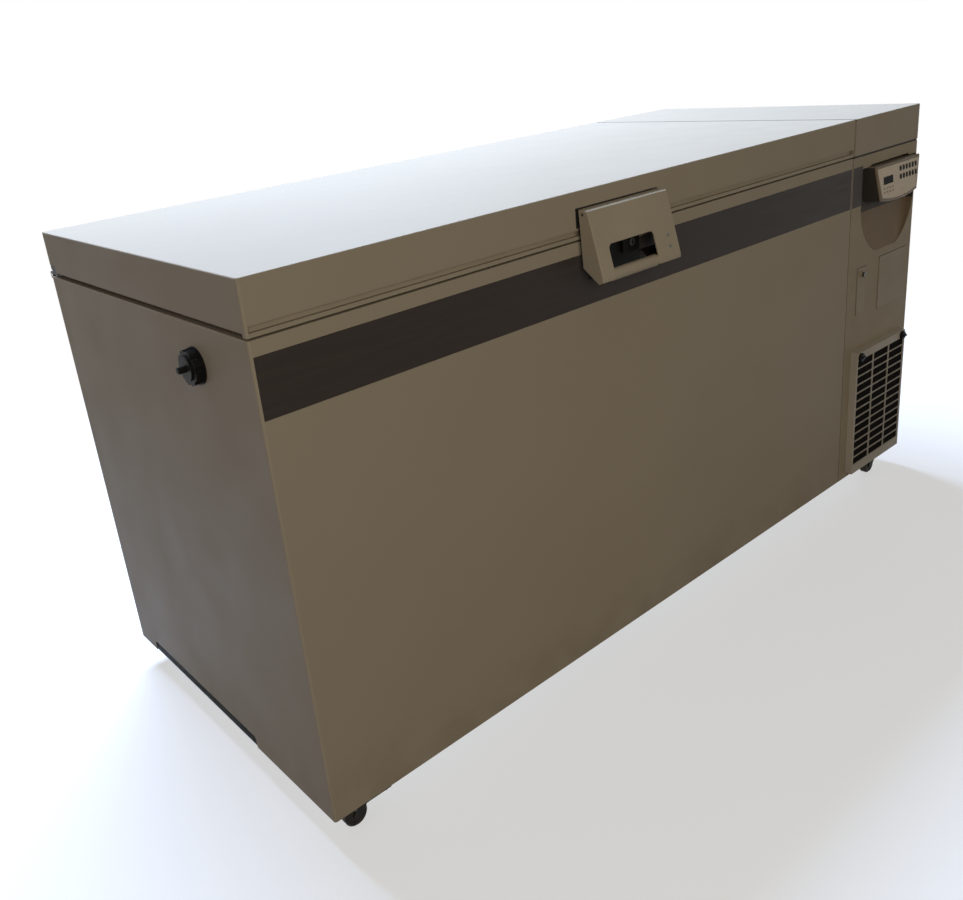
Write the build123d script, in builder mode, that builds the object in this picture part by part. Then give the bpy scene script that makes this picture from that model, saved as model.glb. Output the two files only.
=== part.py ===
from build123d import *
import os

# Chest freezer for very low temperatures: an insulated cabinet with a hinged lid, and a machine
# compartment in its right end. Millimetres, +Z up, front towards -Y, right end towards +X.
# The origin is on the floor, under the middle of the whole part's box.

# Cabinet
cabinet_width = 2100.0
cabinet_depth = 860.0
overall_height = 1080.0
floor_clearance = 70.0
lid_height = 92.0
seal_gap = 4.0
sheet = 1.0
fit_gap = 0.2
corner_radius = 5.0
edge_radius = 2.5
panel_flange = 20.0
seam = 3.0
machine_width = 350.0
cover_width = 345.0
base_sheet = 2.0
notch_length = 490.0
notch_height = 26.0
notch_depth = 1.6
notch_from_back = 87.0
notch_radius = 10.0

# Chamber
left_wall = 125.0
right_wall = 125.0
front_wall = 150.0
back_wall = 150.0
chamber_floor = 198.0
collar_thickness = 8.0
coil_turns = 7
coil_width = 12.0
coil_thickness = 6.0
coil_first = 60.0
coil_top_gap = 136.0
coil_header = 14.0

# Lid
lid_groove_top = 18.0
lid_groove_depth = 9.0
lid_frame_height = 7.0
lid_side_inset = 10.0
groove_wall = 2.0
plug_drop = 40.0
plug_gap = 15.0
plug_wall = 2.0
gasket_width = 22.0
gasket_inset = 14.0
gasket_seat_gap = 0.3
stripe_below_top = 26.0
stripe_height = 103.0
stripe_film = 0.4
stripe_seam_gap = 3.0

# Lid hinges
hinge_count = 3
hinge_end_inset = 3.0
hinge_notch_length = 34.0
hinge_notch_height = 22.0
hinge_width = 96.0
hinge_leaf = 4.0
hinge_leaf_drop = 70.0
hinge_leaf_rise = 56.0
knuckle_radius = 8.0
hinge_axis_offset = 10.0
hinge_pin_radius = 4.0
hinge_clearance = 0.05
knuckle_gap = 0.4

# Lever handle
lever_from_left = 716.0
lever_width = 238.0
lever_wall = 4.0
lever_pivot_out = 15.0
lever_pivot_below_top = 43.0
lever_head = 9.0
lever_top_out = 28.0
lever_top_below_head = 2.0
lever_top_wall = 3.0
lever_nose_out = 61.0
lever_nose_height = 8.0
lever_nose_edge = 3.0
lever_side_edge = 2.5
lever_nose_below_pivot = 127.0
lever_heel_out = 12.0
lever_heel_below_pivot = 105.0
lever_chin = 5.0
window_from_lever = 36.0
window_width = 134.0
window_below_pivot = 61.0
window_radius = 10.0
window_bevel = 1.2
grip_radius = 12.0
grip_out = 48.0
grip_below_pivot = 120.0
grip_bore_radius = 8.0
lever_pin_radius = 3.0
bracket_plate = 2.0
bracket_ear = 3.0
bracket_ear_radius = 5.5
bracket_ear_gap = 0.5
bracket_below_pivot = 27.0
bracket_margin = 2.0
lever_screw_radius = 3.5
lever_screw_head = 1.6
lever_screw_taper = 35.0
lever_screw_from_edge = 28.0
lever_screw_spacing = 22.0
lever_screw_below_pivot = 88.0
lock_block_width = 50.0
lock_block_height = 38.0
lock_block_depth = 11.0
lock_block_below_pivot = 99.0
lock_block_from_window = 82.0
lock_plate = 2.0
lock_plate_margin = 8.0
lock_plate_below_top = 5.0
lock_barrel_radius = 8.0
lock_barrel_proud = 3.0
lock_barrel_seat = 8.0
barrel_clearance = 0.08
key_slot_width = 2.0
key_slot_length = 9.0

# Fascia of the machine compartment
fascia_wall = 3.0
fascia_return = 25.0
fascia_corner = 6.0
fascia_edge = 4.0
scoop_from_right = 8.5
scoop_below_stripe = 8.0
scoop_depth = 40.0
scoop_straight = 99.0
scoop_run_out = 5.0
pod_from_scoop = 38.0
pod_right_gap = 9.0
pod_top_width = 243.0
pod_bottom_width = 199.0
pod_height = 92.0
pod_belly = 10.0
pod_proud = 16.0
pod_lean = 5.0
pod_below_scoop = 1.5
pod_edge = 3.0
face_panel = 1.5
face_margin = 7.0
display_width = 52.0
display_height = 20.0
display_from_left = 37.0
display_centre_drop = 42.0
display_glass = 1.5
pad_columns = 6
pad_rows = 2
pad_width = 10.5
pad_height = 14.0
pad_pitch_x = 17.0
pad_pitch_z = 22.0
pad_centre_from_left = 173.0
pad_centre_drop = 33.0
pad_proud = 0.8
pad_radius = 4.5
plate_line = 1.2
plate_rim = 4.0
plate_proud = 1.6
plate_back = 2.0
key_plate_width = 49.0
key_plate_height = 132.0
key_plate_from_left = 72.0
key_plate_below_scoop = 19.0
key_barrel_radius = 7.0
key_barrel_proud = 9.0
key_barrel_below_top = 20.0
key_bezel_radius = 10.5
key_bezel_proud = 3.0
blank_width = 152.0
blank_height = 150.0
blank_from_left = 241.0
blank_below_scoop = 11.0

# Intake grille
grille_width = 278.0
grille_below_blank = 93.0
grille_depth = 18.0
grille_bottom = 82.0
grille_wall = 3.0
grille_face = 2.5
grille_draft = 6.0
grille_corner = 5.0
grille_gap = 0.3
grille_columns = 3
grille_rows = 13
grille_bar = 3.0
grille_post = 4.0
grille_side_margin = 9.0
grille_top_margin = 24.0
grille_bottom_margin = 30.0
knob_radius = 12.0
knob_height = 12.0
knob_inset = 21.0
knob_drop = 15.0
knob_shank_radius = 4.0
knob_shank_reach = 6.0
knob_hole_gap = 0.8
knob_grip_width = 5.0
knob_rib = 4.0
tab_width = 18.0
tab_thickness = 3.0
tab_reach = 6.0
tab_spacing = 180.0
tab_slot_gap = 1.5
tab_slot_rise = 8.0
filter_thickness = 6.0
filter_lap = 3.0

# Machine compartment
condenser_behind_front = 28.0
condenser_depth = 44.0
condenser_fins = 22
condenser_fin = 1.0
condenser_end_plate = 3.0
condenser_margin = 8.0
condenser_tube = 9.0
condenser_tubes = 4
shroud_sheet = 2.0
shroud_throat_depth = 30.0
shroud_throat_wall = 2.0
motor_arm = 14.0
motor_arm_sheet = 4.0
motor_arm_count = 3
motor_radius = 42.0
motor_length = 70.0
motor_bore_depth = 40.0
fan_margin = 18.0
fan_tip_gap = 5.0
fan_hub_radius = 28.0
fan_hub_length = 22.0
fan_blade_count = 5
fan_blade_width = 48.0
fan_blade_thickness = 2.5
fan_blade_pitch = 28.0
fan_shaft_radius = 4.0
fan_shaft_clearance = 0.1
fan_shaft_hole = 12.0
compressor_radius = 88.0
compressor_height = 250.0
compressor_dome = 32.0
compressor_from_back = 150.0
compressor_pitch = 230.0
compressor_foot = 4.0
compressor_foot_length = 220.0
compressor_foot_width = 150.0
grommet_radius = 14.0
grommet_height = 22.0
grommet_inset = 16.0
separator_radius = 38.0
separator_height = 240.0
separator_dome = 10.0
separator_from_back = 530.0
separator_from_right = 90.0
exchanger_width = 70.0
exchanger_depth = 120.0
exchanger_height = 260.0
exchanger_from_back = 620.0
control_box_width = 220.0
control_box_depth = 300.0
control_box_height = 130.0
control_box_drop = 120.0
control_box_from_back = 480.0
control_box_lid = 3.0
control_box_lip = 6.0
inlet_width = 60.0
inlet_height = 48.0
inlet_flange = 5.0
inlet_flange_rim = 8.0
inlet_depth = 34.0
inlet_wall = 4.0
inlet_floor = 6.0
inlet_from_right = 110.0
inlet_centre = 180.0
inlet_pin_width = 3.0
inlet_pin_height = 9.0
inlet_pin_spread = 14.0
vent_columns = 2
vent_rows = 12
vent_length = 110.0
vent_height = 8.0
vent_pitch = 24.0
vent_centre = 400.0
vent_column_gap = 30.0

# Port on the left side
port_from_front = 196.0
port_below_top = 74.0
port_flange_radius = 33.0
port_flange = 4.0
port_body_radius = 31.0
port_body = 14.0
port_scallops = 8
port_scallop_radius = 7.0
port_scallop_bite = 3.0
port_cap_radius = 22.0
port_cap = 4.0
port_spigot_radius = 18.0
port_spigot = 26.0
port_pin_radius = 6.0
port_pin_proud = 14.0
port_pin_tail = 12.0
port_pin_travel = 8.0
port_clearance = 0.08
port_hole_gap = 0.5

# Casters
caster_inset = 84.0
caster_inset_depth = 40.0
caster_plate_length = 90.0
caster_plate_width = 76.0
caster_plate_thickness = 4.0
caster_race_radius = 25.0
caster_race_height = 6.0
caster_swivel_gap = 0.4
caster_crown_radius = 25.0
caster_crown = 4.0
caster_trail = 22.0
caster_leg = 3.0
caster_leg_radius = 9.0
caster_axle_radius = 4.0
caster_axle_clearance = 0.1
wheel_radius = 25.0
wheel_width = 22.0
wheel_edge = 4.0
wheel_side_gap = 1.0
wheel_hub_radius = 15.0
wheel_hub_recess = 2.0

# The part's box is centred on the origin, so its reach past the cabinet sets where the cabinet stands
port_reach = port_flange + port_body + port_cap + port_pin_proud
rear_reach = hinge_axis_offset + knuckle_radius
handle_reach = lever_nose_out
left = -(cabinet_width - port_reach) / 2
right = left + cabinet_width
front = -(cabinet_depth + rear_reach - handle_reach) / 2
back = front + cabinet_depth
lid_bottom = overall_height - lid_height
cabinet_top = lid_bottom - seal_gap
flange_under = cabinet_top - sheet
fascia_left = right - machine_width + seam / 2
wrap_right = right - machine_width - seam / 2
cover_left = right - cover_width + seam / 2
lid_right = right - cover_width - seam / 2
bulkhead_right = right - machine_width + sheet / 2
bulkhead_left = bulkhead_right - sheet
panel_back = back - sheet - fit_gap
base_top = floor_clearance + base_sheet
collar_under = cabinet_top - collar_thickness
chamber_low = (left + left_wall, front + front_wall, chamber_floor)
chamber_high = (bulkhead_left - right_wall, back - back_wall, cabinet_top)
stripe_top = cabinet_top - stripe_below_top
scoop_width = pod_from_scoop + pod_top_width + pod_right_gap
scoop_top = stripe_top - scoop_below_stripe
scoop_height = scoop_straight + scoop_width / 2
scoop_low = scoop_top - scoop_height
key_plate_centre = scoop_low - key_plate_below_scoop - key_plate_height / 2
blank_centre = scoop_low - blank_below_scoop - blank_height / 2
grille_height = blank_centre - blank_height / 2 - grille_below_blank - grille_bottom
port_centre = cabinet_top - port_below_top
far = cabinet_width


def facing_front(y):
    """A plane at depth y seen from the front: sketches on it read as (X, Z) and rise towards -Y."""
    return Plane(origin=(0, y, 0), x_dir=(1, 0, 0), z_dir=(0, -1, 0))


def block(low, high, mode=Mode.ADD):
    """A box between two corners."""
    size = Vector(*high) - Vector(*low)
    with Locations(low):
        Box(size.X, size.Y, size.Z, align=(Align.MIN, Align.MIN, Align.MIN), mode=mode)


def rounded_block(low, high, corner, edge):
    """A box with rounded upright and top edges, as folded sheet has."""
    with BuildPart() as rounded:
        block(low, high)
        fillet(rounded.edges().filter_by(Axis.Z), corner)
        fillet(rounded.faces().sort_by(Axis.Z)[-1].edges(), edge)
    return rounded.part


def folded_pan(low, high, wall, corner, edge):
    """An upturned pan of sheet: the rounded box less the same box set in by the wall."""
    inner_low = (low[0] + wall, low[1] + wall, low[2] - wall)
    inner_high = (high[0] - wall, high[1] - wall, high[2] - wall)
    with BuildPart() as pan:
        add(rounded_block(low, high, corner, edge))
        add(rounded_block(inner_low, inner_high, corner - wall, edge - wall), mode=Mode.SUBTRACT)
    return pan.part


def keep(name, builder):
    """Labels a finished piece and writes its file."""
    builder.part.label = name
    export_step(builder.part, f"parts/{name}.step")


os.makedirs("parts", exist_ok=True)

port_plane = Plane(
    origin=(left, front + port_from_front, port_centre), x_dir=(0, -1, 0), z_dir=(-1, 0, 0)
)

# Cabinet wrap: one folded sheet round the front and the left side, with a flange along its top
with BuildPart() as cabinet_wrap:
    add(
        folded_pan(
            (left, front, floor_clearance),
            (right, back + panel_flange, cabinet_top),
            sheet,
            corner_radius,
            edge_radius,
        )
    )
    split(bisect_by=Plane(origin=(wrap_right, 0, 0), z_dir=(1, 0, 0)), keep=Keep.BOTTOM)
    split(bisect_by=Plane(origin=(0, panel_back, 0), z_dir=(0, 1, 0)), keep=Keep.BOTTOM)
    block(
        (left + panel_flange, front + panel_flange, flange_under - edge_radius),
        (right, back, overall_height),
        mode=Mode.SUBTRACT,
    )
    with BuildSketch(Plane.YZ.offset(left)):
        with Locations((back - notch_from_back - notch_length / 2, floor_clearance)):
            RectangleRounded(notch_length, 2 * notch_height, notch_radius)
    extrude(amount=sheet, mode=Mode.SUBTRACT)
    with BuildSketch(port_plane):
        Circle(port_spigot_radius + port_hole_gap)
    extrude(amount=-sheet, mode=Mode.SUBTRACT)
keep("cabinet_wrap", cabinet_wrap)

# Rear panel: one sheet across the whole back, with a flange along its top, vents and the inlet's hole
inlet_x = right - inlet_from_right
with BuildPart() as rear_panel:
    block(
        (left + sheet + fit_gap, back - sheet, floor_clearance),
        (right - sheet - fit_gap, back, cabinet_top),
    )
    block(
        (left + panel_flange + fit_gap, back - panel_flange, flange_under),
        (right - panel_flange - fit_gap, back, cabinet_top),
    )
    with BuildSketch(facing_front(back)):
        with Locations((right - machine_width / 2, vent_centre)):
            with GridLocations(vent_length + vent_column_gap, vent_pitch, vent_columns, vent_rows):
                SlotOverall(vent_length, vent_height)
        with Locations((inlet_x, inlet_centre)):
            Rectangle(inlet_width + 2 * fit_gap, inlet_height + 2 * fit_gap)
    extrude(amount=sheet, mode=Mode.SUBTRACT)
keep("rear_panel", rear_panel)

# Right side panel: a sheet behind the fascia's return, with a flange along its top and exhaust vents
with BuildPart() as right_side_panel:
    block(
        (right - sheet, front + fascia_return + fit_gap, floor_clearance),
        (right, panel_back, cabinet_top),
    )
    block(
        (right - panel_flange, front + fascia_return + fit_gap, flange_under),
        (right, back - panel_flange - fit_gap, cabinet_top),
    )
    with BuildSketch(Plane.YZ.offset(right - sheet)):
        with Locations(((front + back) / 2, vent_centre)):
            with GridLocations(vent_length + vent_column_gap, vent_pitch, 2 * vent_columns, vent_rows):
                SlotOverall(vent_length, vent_height)
    extrude(amount=sheet, mode=Mode.SUBTRACT)
keep("right_side_panel", right_side_panel)

# Base pan: the sheet that closes the cabinet underneath and carries the casters,
# with the strip that backs the notch behind the wrap
notch_back = back - notch_from_back
notch_front = notch_back - notch_length
notch_top = floor_clearance + notch_height
with BuildPart() as base_pan:
    block(
        (left + corner_radius, front + corner_radius, floor_clearance),
        (right - fascia_wall - fit_gap, panel_back, base_top),
    )
    block(
        (left + sheet + fit_gap, notch_front - base_sheet, floor_clearance),
        (left + notch_depth + base_sheet, notch_back + base_sheet, notch_top + base_sheet),
    )
    block(
        (left, notch_front, floor_clearance),
        (left + notch_depth, notch_back, notch_top),
        mode=Mode.SUBTRACT,
    )
keep("base_pan", base_pan)

# Bulkhead: the sheet between the insulated box and the machine compartment
with BuildPart() as bulkhead:
    block(
        (bulkhead_left, front + sheet + fit_gap, base_top),
        (bulkhead_right, panel_back, flange_under),
    )
    block(
        (bulkhead_left, front + fascia_return + fit_gap, flange_under),
        (bulkhead_right + panel_flange, back - panel_flange - fit_gap, cabinet_top),
    )
keep("bulkhead", bulkhead)

# Inner liner: the folded steel box that is the chamber
with BuildPart() as inner_liner:
    block(
        (chamber_low[0] - sheet, chamber_low[1] - sheet, chamber_low[2] - sheet),
        (chamber_high[0] + sheet, chamber_high[1] + sheet, collar_under),
    )
    block(chamber_low, chamber_high, mode=Mode.SUBTRACT)
keep("inner_liner", inner_liner)

# Breaker collar: the plastic frame round the chamber's mouth, from the liner to the outer flanges
with BuildPart() as breaker_collar:
    block(
        (left + panel_flange + fit_gap, front + panel_flange + fit_gap, collar_under),
        (bulkhead_left - fit_gap, back - panel_flange - fit_gap, cabinet_top),
    )
    block(
        (chamber_low[0], chamber_low[1], collar_under),
        (chamber_high[0], chamber_high[1], cabinet_top),
        mode=Mode.SUBTRACT,
    )
keep("breaker_collar", breaker_collar)

# Evaporator: flattened tube in turns round the liner, joined by an upright header at the right end
coil_low = (chamber_low[0] - sheet, chamber_low[1] - sheet)
coil_high = (chamber_high[0] + sheet, chamber_high[1] + sheet)
coil_rise = collar_under - coil_top_gap - coil_width - chamber_floor - coil_first
coil_pitch = coil_rise / (coil_turns - 1)
with BuildPart() as evaporator_coil:
    for turn in range(coil_turns):
        height = chamber_floor + coil_first + turn * coil_pitch
        block(
            (coil_low[0] - coil_thickness, coil_low[1] - coil_thickness, height),
            (coil_high[0] + coil_thickness, coil_high[1] + coil_thickness, height + coil_width),
        )
    block(
        (coil_low[0], coil_low[1], chamber_floor),
        (coil_high[0], coil_high[1], collar_under),
        mode=Mode.SUBTRACT,
    )
    block(
        (coil_high[0], (front + back) / 2, chamber_floor + coil_first),
        (
            coil_high[0] + coil_thickness,
            (front + back) / 2 + coil_header,
            chamber_floor + coil_first + (coil_turns - 1) * coil_pitch + coil_width,
        ),
    )
keep("evaporator_coil", evaporator_coil)

# Cabinet insulation: foam that fills the walls, foamed in round the liner, the coil and the port
with BuildPart() as cabinet_foam:
    block(
        (left + sheet + fit_gap, front + sheet + fit_gap, base_top + fit_gap),
        (bulkhead_left, panel_back, collar_under),
    )
    foam_uprights = cabinet_foam.edges().filter_by(Axis.Z)
    fillet(foam_uprights.sort_by_distance((left, front, base_top))[0], corner_radius)
    block(
        (coil_low[0], coil_low[1], chamber_low[2] - sheet),
        (coil_high[0], coil_high[1], cabinet_top),
        mode=Mode.SUBTRACT,
    )
    add(evaporator_coil.part, mode=Mode.SUBTRACT)
    block(
        (left, notch_front - base_sheet - fit_gap, base_top),
        (
            left + notch_depth + base_sheet + fit_gap,
            notch_back + base_sheet + fit_gap,
            notch_top + base_sheet + fit_gap,
        ),
        mode=Mode.SUBTRACT,
    )
    with BuildSketch(port_plane):
        Circle(port_spigot_radius + port_hole_gap)
    extrude(amount=-(port_spigot + port_pin_travel), mode=Mode.SUBTRACT)
keep("cabinet_foam", cabinet_foam)

# Stripe: a thin dark film across the front, in two lengths that meet at the seam
scoop_right = right - scoop_from_right
scoop_left = scoop_right - scoop_width
stripe_low = stripe_top - stripe_height
with BuildPart() as stripe:
    block(
        (left + corner_radius, front - stripe_film, stripe_low),
        (wrap_right - stripe_seam_gap, front, stripe_top),
    )
    block(
        (fascia_left + stripe_seam_gap, front - stripe_film, stripe_low),
        (scoop_left, front, stripe_top),
    )
keep("stripe", stripe)

# Lid skin: a pan of sheet whose front stops above the groove, with its rear corners notched for the hinges
groove_top = lid_bottom + lid_groove_top
frame_top = lid_bottom + lid_frame_height
notch_wall = corner_radius + sheet
with BuildPart() as lid_skin:
    add(
        folded_pan(
            (left, front, lid_bottom + lid_frame_height),
            (lid_right, back, overall_height),
            sheet,
            corner_radius,
            edge_radius,
        )
    )
    block(
        (left + corner_radius, front, lid_bottom),
        (lid_right, front + corner_radius, groove_top),
        mode=Mode.SUBTRACT,
    )
    block(
        (left + corner_radius, front + sheet, groove_top),
        (lid_right - corner_radius, front + lid_groove_depth, groove_top + sheet),
    )
    for end, inner in ((left, left + notch_wall), (lid_right - notch_wall, lid_right)):
        block(
            (end, back - hinge_notch_length, lid_bottom),
            (inner, back, lid_bottom + hinge_notch_height),
            mode=Mode.SUBTRACT,
        )
keep("lid_skin", lid_skin)

# Lid frame: the plastic ring under the lid, with the lip below the groove and the groove's back wall
plug_low = (chamber_low[0] + plug_gap, chamber_low[1] + plug_gap, lid_bottom - plug_drop)
plug_high = (chamber_high[0] - plug_gap, chamber_high[1] - plug_gap, frame_top)
with BuildPart() as lid_frame:
    block(
        (left + lid_side_inset, front, lid_bottom),
        (lid_right - lid_side_inset, back - lid_side_inset, frame_top),
    )
    block(
        (left + lid_side_inset, front + lid_groove_depth, lid_bottom),
        (lid_right - lid_side_inset, front + lid_groove_depth + groove_wall, groove_top),
    )
    block((left, front, lid_bottom), (lid_right, front + lid_groove_depth + groove_wall, frame_top))
    fillet(lid_frame.edges().filter_by(Axis.Z).group_by(Axis.Y)[0], corner_radius)
    block(
        (plug_low[0] - fit_gap, plug_low[1] - fit_gap, lid_bottom),
        (plug_high[0] + fit_gap, plug_high[1] + fit_gap, frame_top),
        mode=Mode.SUBTRACT,
    )
keep("lid_frame", lid_frame)

# Lid liner: the moulded plug that fills the chamber's mouth
with BuildPart() as lid_liner:
    block(plug_low, plug_high)
    block(
        (plug_low[0] + plug_wall, plug_low[1] + plug_wall, plug_low[2] + plug_wall),
        (plug_high[0] - plug_wall, plug_high[1] - plug_wall, frame_top),
        mode=Mode.SUBTRACT,
    )
keep("lid_liner", lid_liner)

# Lid insulation: foam between the skin, the frame and the plug
with BuildPart() as lid_foam:
    block(
        (left + lid_side_inset, front + lid_groove_depth + groove_wall, frame_top),
        (lid_right - lid_side_inset, back - lid_side_inset, overall_height - sheet - fit_gap),
    )
    block(
        (plug_low[0] + plug_wall, plug_low[1] + plug_wall, plug_low[2] + plug_wall),
        (plug_high[0] - plug_wall, plug_high[1] - plug_wall, frame_top),
    )
keep("lid_foam", lid_foam)

# Lid seal: the rubber ring under the frame, which rests on the collar and the flanges
gasket_low = (left + gasket_inset, front + gasket_inset)
gasket_high = (lid_right - gasket_inset, back - gasket_inset)
with BuildPart() as lid_gasket:
    block(
        (gasket_low[0], gasket_low[1], cabinet_top + gasket_seat_gap),
        (gasket_high[0], gasket_high[1], lid_bottom),
    )
    block(
        (gasket_low[0] + gasket_width, gasket_low[1] + gasket_width, cabinet_top),
        (gasket_high[0] - gasket_width, gasket_high[1] - gasket_width, lid_bottom),
        mode=Mode.SUBTRACT,
    )
keep("lid_gasket", lid_gasket)

# Lid hinges: cabinet leaves with two knuckles each, lid leaves with one between them, and the pins
hinge_y = back + hinge_axis_offset
hinge_z = (lid_bottom + cabinet_top) / 2
hinge_first = left + hinge_end_inset + hinge_width / 2
hinge_last = lid_right - hinge_end_inset - hinge_width / 2
hinge_spacing = (hinge_last - hinge_first) / (hinge_count - 1)
hinge_centres = [hinge_first + i * hinge_spacing for i in range(hinge_count)]
knuckle_length = hinge_width / 3
leaf_clear = knuckle_radius + hinge_leaf

with BuildPart() as hinge_cabinet_leaves:
    for x in hinge_centres:
        block(
            (x - hinge_width / 2, back, hinge_z - hinge_leaf_drop),
            (x + hinge_width / 2, back + hinge_leaf, hinge_z - leaf_clear),
        )
        for side in (-1, 1):
            middle = x + side * knuckle_length
            with BuildSketch(Plane.YZ.offset(middle - knuckle_length / 2)):
                with Locations((hinge_y, hinge_z)):
                    Circle(knuckle_radius)
                with Locations((back + hinge_leaf / 2, hinge_z - leaf_clear / 2)):
                    Rectangle(hinge_leaf, leaf_clear)
                with Locations((hinge_y, hinge_z)):
                    Circle(hinge_pin_radius + hinge_clearance, mode=Mode.SUBTRACT)
            extrude(amount=knuckle_length)
keep("hinge_cabinet_leaves", hinge_cabinet_leaves)

with BuildPart() as hinge_lid_leaves:
    for x in hinge_centres:
        block(
            (x - hinge_width / 2, back, hinge_z + leaf_clear),
            (x + hinge_width / 2, back + hinge_leaf, hinge_z + hinge_leaf_rise),
        )
        with BuildSketch(Plane.YZ.offset(x - knuckle_length / 2 + knuckle_gap)):
            with Locations((hinge_y, hinge_z)):
                Circle(knuckle_radius)
            with Locations((back + hinge_leaf / 2, hinge_z + leaf_clear / 2)):
                Rectangle(hinge_leaf, leaf_clear)
            with Locations((hinge_y, hinge_z)):
                Circle(hinge_pin_radius + hinge_clearance, mode=Mode.SUBTRACT)
        extrude(amount=knuckle_length - 2 * knuckle_gap)
    for end, inner in (
        (left + hinge_end_inset, left + notch_wall - fit_gap),
        (lid_right - notch_wall + fit_gap, lid_right - hinge_end_inset),
    ):
        block(
            (end, back - hinge_notch_length + fit_gap, lid_bottom),
            (inner, back, lid_bottom + hinge_notch_height - fit_gap),
        )
keep("hinge_lid_leaves", hinge_lid_leaves)

with BuildPart() as hinge_pins:
    for x in hinge_centres:
        with BuildSketch(Plane.YZ.offset(x - hinge_width / 2)):
            with Locations((hinge_y, hinge_z)):
                Circle(hinge_pin_radius)
        extrude(amount=hinge_width)
keep("hinge_pins", hinge_pins)

# Lever handle: a wedge-shaped cover that turns on a pin at its head and is pulled out by its grip
lever_left = left + lever_from_left
lever_right = lever_left + lever_width
pivot_y = front - lever_pivot_out
pivot_z = overall_height - lever_pivot_below_top
window_left = lever_left + window_from_lever
window_right = window_left + window_width
window_top = pivot_z - window_below_pivot
grip_y = front - grip_out
grip_z = pivot_z - grip_below_pivot
nose_z = pivot_z - lever_nose_below_pivot
head_top = pivot_z + lever_head
heel = (front - lever_heel_out, pivot_z - lever_heel_below_pivot)
brow = (front - lever_top_out, head_top - lever_top_below_head)
nose_top = (front - lever_nose_out, nose_z + lever_nose_height)
nose_low = (front - lever_nose_out, nose_z)
chin = (front - grip_out, nose_z - lever_chin)
head_back = (pivot_y + lever_head, head_top)
ear_left = lever_left + lever_wall + bracket_ear_gap
ear_right = lever_right - lever_wall - bracket_ear_gap - bracket_ear
face_slope = (nose_top[0] - brow[0]) / (nose_top[1] - brow[1])


def lever_face_y(z):
    """The depth of the lever's leaning face at a height."""
    return brow[0] + face_slope * (z - brow[1])


with BuildPart() as handle_lever:
    with BuildSketch(Plane.YZ.offset(lever_left)):
        with BuildLine():
            Polyline(head_back, brow, nose_top, nose_low, chin, heel, close=True)
        make_face()
    extrude(amount=lever_width)
    front_edges = handle_lever.edges().filter_by(Axis.X).sort_by(Axis.Y)
    fillet(front_edges[:4], lever_nose_edge)
    end_edges = handle_lever.faces().filter_by(Axis.X).edges()
    fillet([edge for edge in end_edges if edge.center().Y < pivot_y], lever_side_edge)
    brow_in = (brow[0] + lever_wall, head_top - lever_top_wall)
    nose_in = (nose_low[0] + lever_wall, nose_low[1] + lever_wall)
    chin_in = (chin[0], chin[1] + lever_wall + lever_chin / 2)
    heel_in = (heel[0], heel[1] + lever_wall)
    with BuildSketch(Plane.YZ.offset(lever_left + lever_wall)):
        with BuildLine():
            Polyline(
                (front, brow_in[1]),
                brow_in,
                nose_in,
                chin_in,
                heel_in,
                (front, heel_in[1]),
                (front, brow_in[1]),
            )
        make_face()
    extrude(amount=lever_width - 2 * lever_wall, mode=Mode.SUBTRACT)
    for ear in (ear_left, ear_right):
        block(
            (ear - bracket_ear_gap, pivot_y - lever_pin_radius, pivot_z),
            (ear + bracket_ear + bracket_ear_gap, front, head_top),
            mode=Mode.SUBTRACT,
        )
    with BuildSketch(facing_front(front)):
        window_height = window_top - grip_z + grip_radius + 2 * lever_chin + lever_wall
        with Locations(((window_left + window_right) / 2, window_top - window_height / 2)):
            RectangleRounded(window_width, window_height, window_radius)
        with Locations(((window_left + window_right) / 2, window_top - window_height + window_radius)):
            Rectangle(window_width, 2 * window_radius)
    extrude(amount=lever_nose_out + lever_wall, mode=Mode.SUBTRACT)
    window_edges = handle_lever.edges().filter_by(
        lambda edge: window_left - fit_gap < edge.center().X < window_right + fit_gap
        and abs(edge.center().Y - lever_face_y(edge.center().Z)) < fit_gap
        and edge.center().Z < window_top + fit_gap
    )
    chamfer(window_edges, window_bevel)
    with BuildSketch(Plane.YZ.offset(lever_left)):
        with Locations((pivot_y, pivot_z)):
            Circle(lever_pin_radius + hinge_clearance)
    extrude(amount=lever_width, mode=Mode.SUBTRACT)
keep("handle_lever", handle_lever)

# Grip: a round tube set between the two ends of the lever's cut-out
with BuildPart() as handle_grip:
    with BuildSketch(Plane.YZ.offset(window_left)):
        with Locations((grip_y, grip_z)):
            Circle(grip_radius)
            Circle(grip_bore_radius, mode=Mode.SUBTRACT)
    extrude(amount=window_width)
keep("handle_grip", handle_grip)

# Lever screws: two round heads in the lever's face beside the cut-out
screw_z = pivot_z - lever_screw_below_pivot
lever_face = Plane(
    origin=(lever_right - lever_screw_from_edge, lever_face_y(screw_z), screw_z),
    x_dir=(1, 0, 0),
    z_dir=(0, -1, face_slope),
)
with BuildPart() as handle_screws:
    with BuildSketch(lever_face):
        with GridLocations(0, lever_screw_spacing, 1, 2):
            Circle(lever_screw_radius)
    extrude(amount=lever_screw_head, taper=lever_screw_taper)
keep("handle_screws", handle_screws)

# Lever bracket: a plate on the lid's face with two ears that hold the pin
with BuildPart() as handle_bracket:
    block(
        (lever_left - bracket_margin, front - bracket_plate, pivot_z - bracket_below_pivot),
        (lever_right + bracket_margin, front, head_top + bracket_margin),
    )
    for ear in (ear_left, ear_right):
        with BuildSketch(Plane.YZ.offset(ear)):
            with Locations((pivot_y, pivot_z)):
                Circle(bracket_ear_radius)
            with Locations(((pivot_y + front) / 2, pivot_z)):
                Rectangle(lever_pivot_out, 2 * bracket_ear_radius)
            with Locations((pivot_y, pivot_z)):
                Circle(lever_pin_radius + hinge_clearance, mode=Mode.SUBTRACT)
        extrude(amount=bracket_ear)
keep("handle_bracket", handle_bracket)

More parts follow.
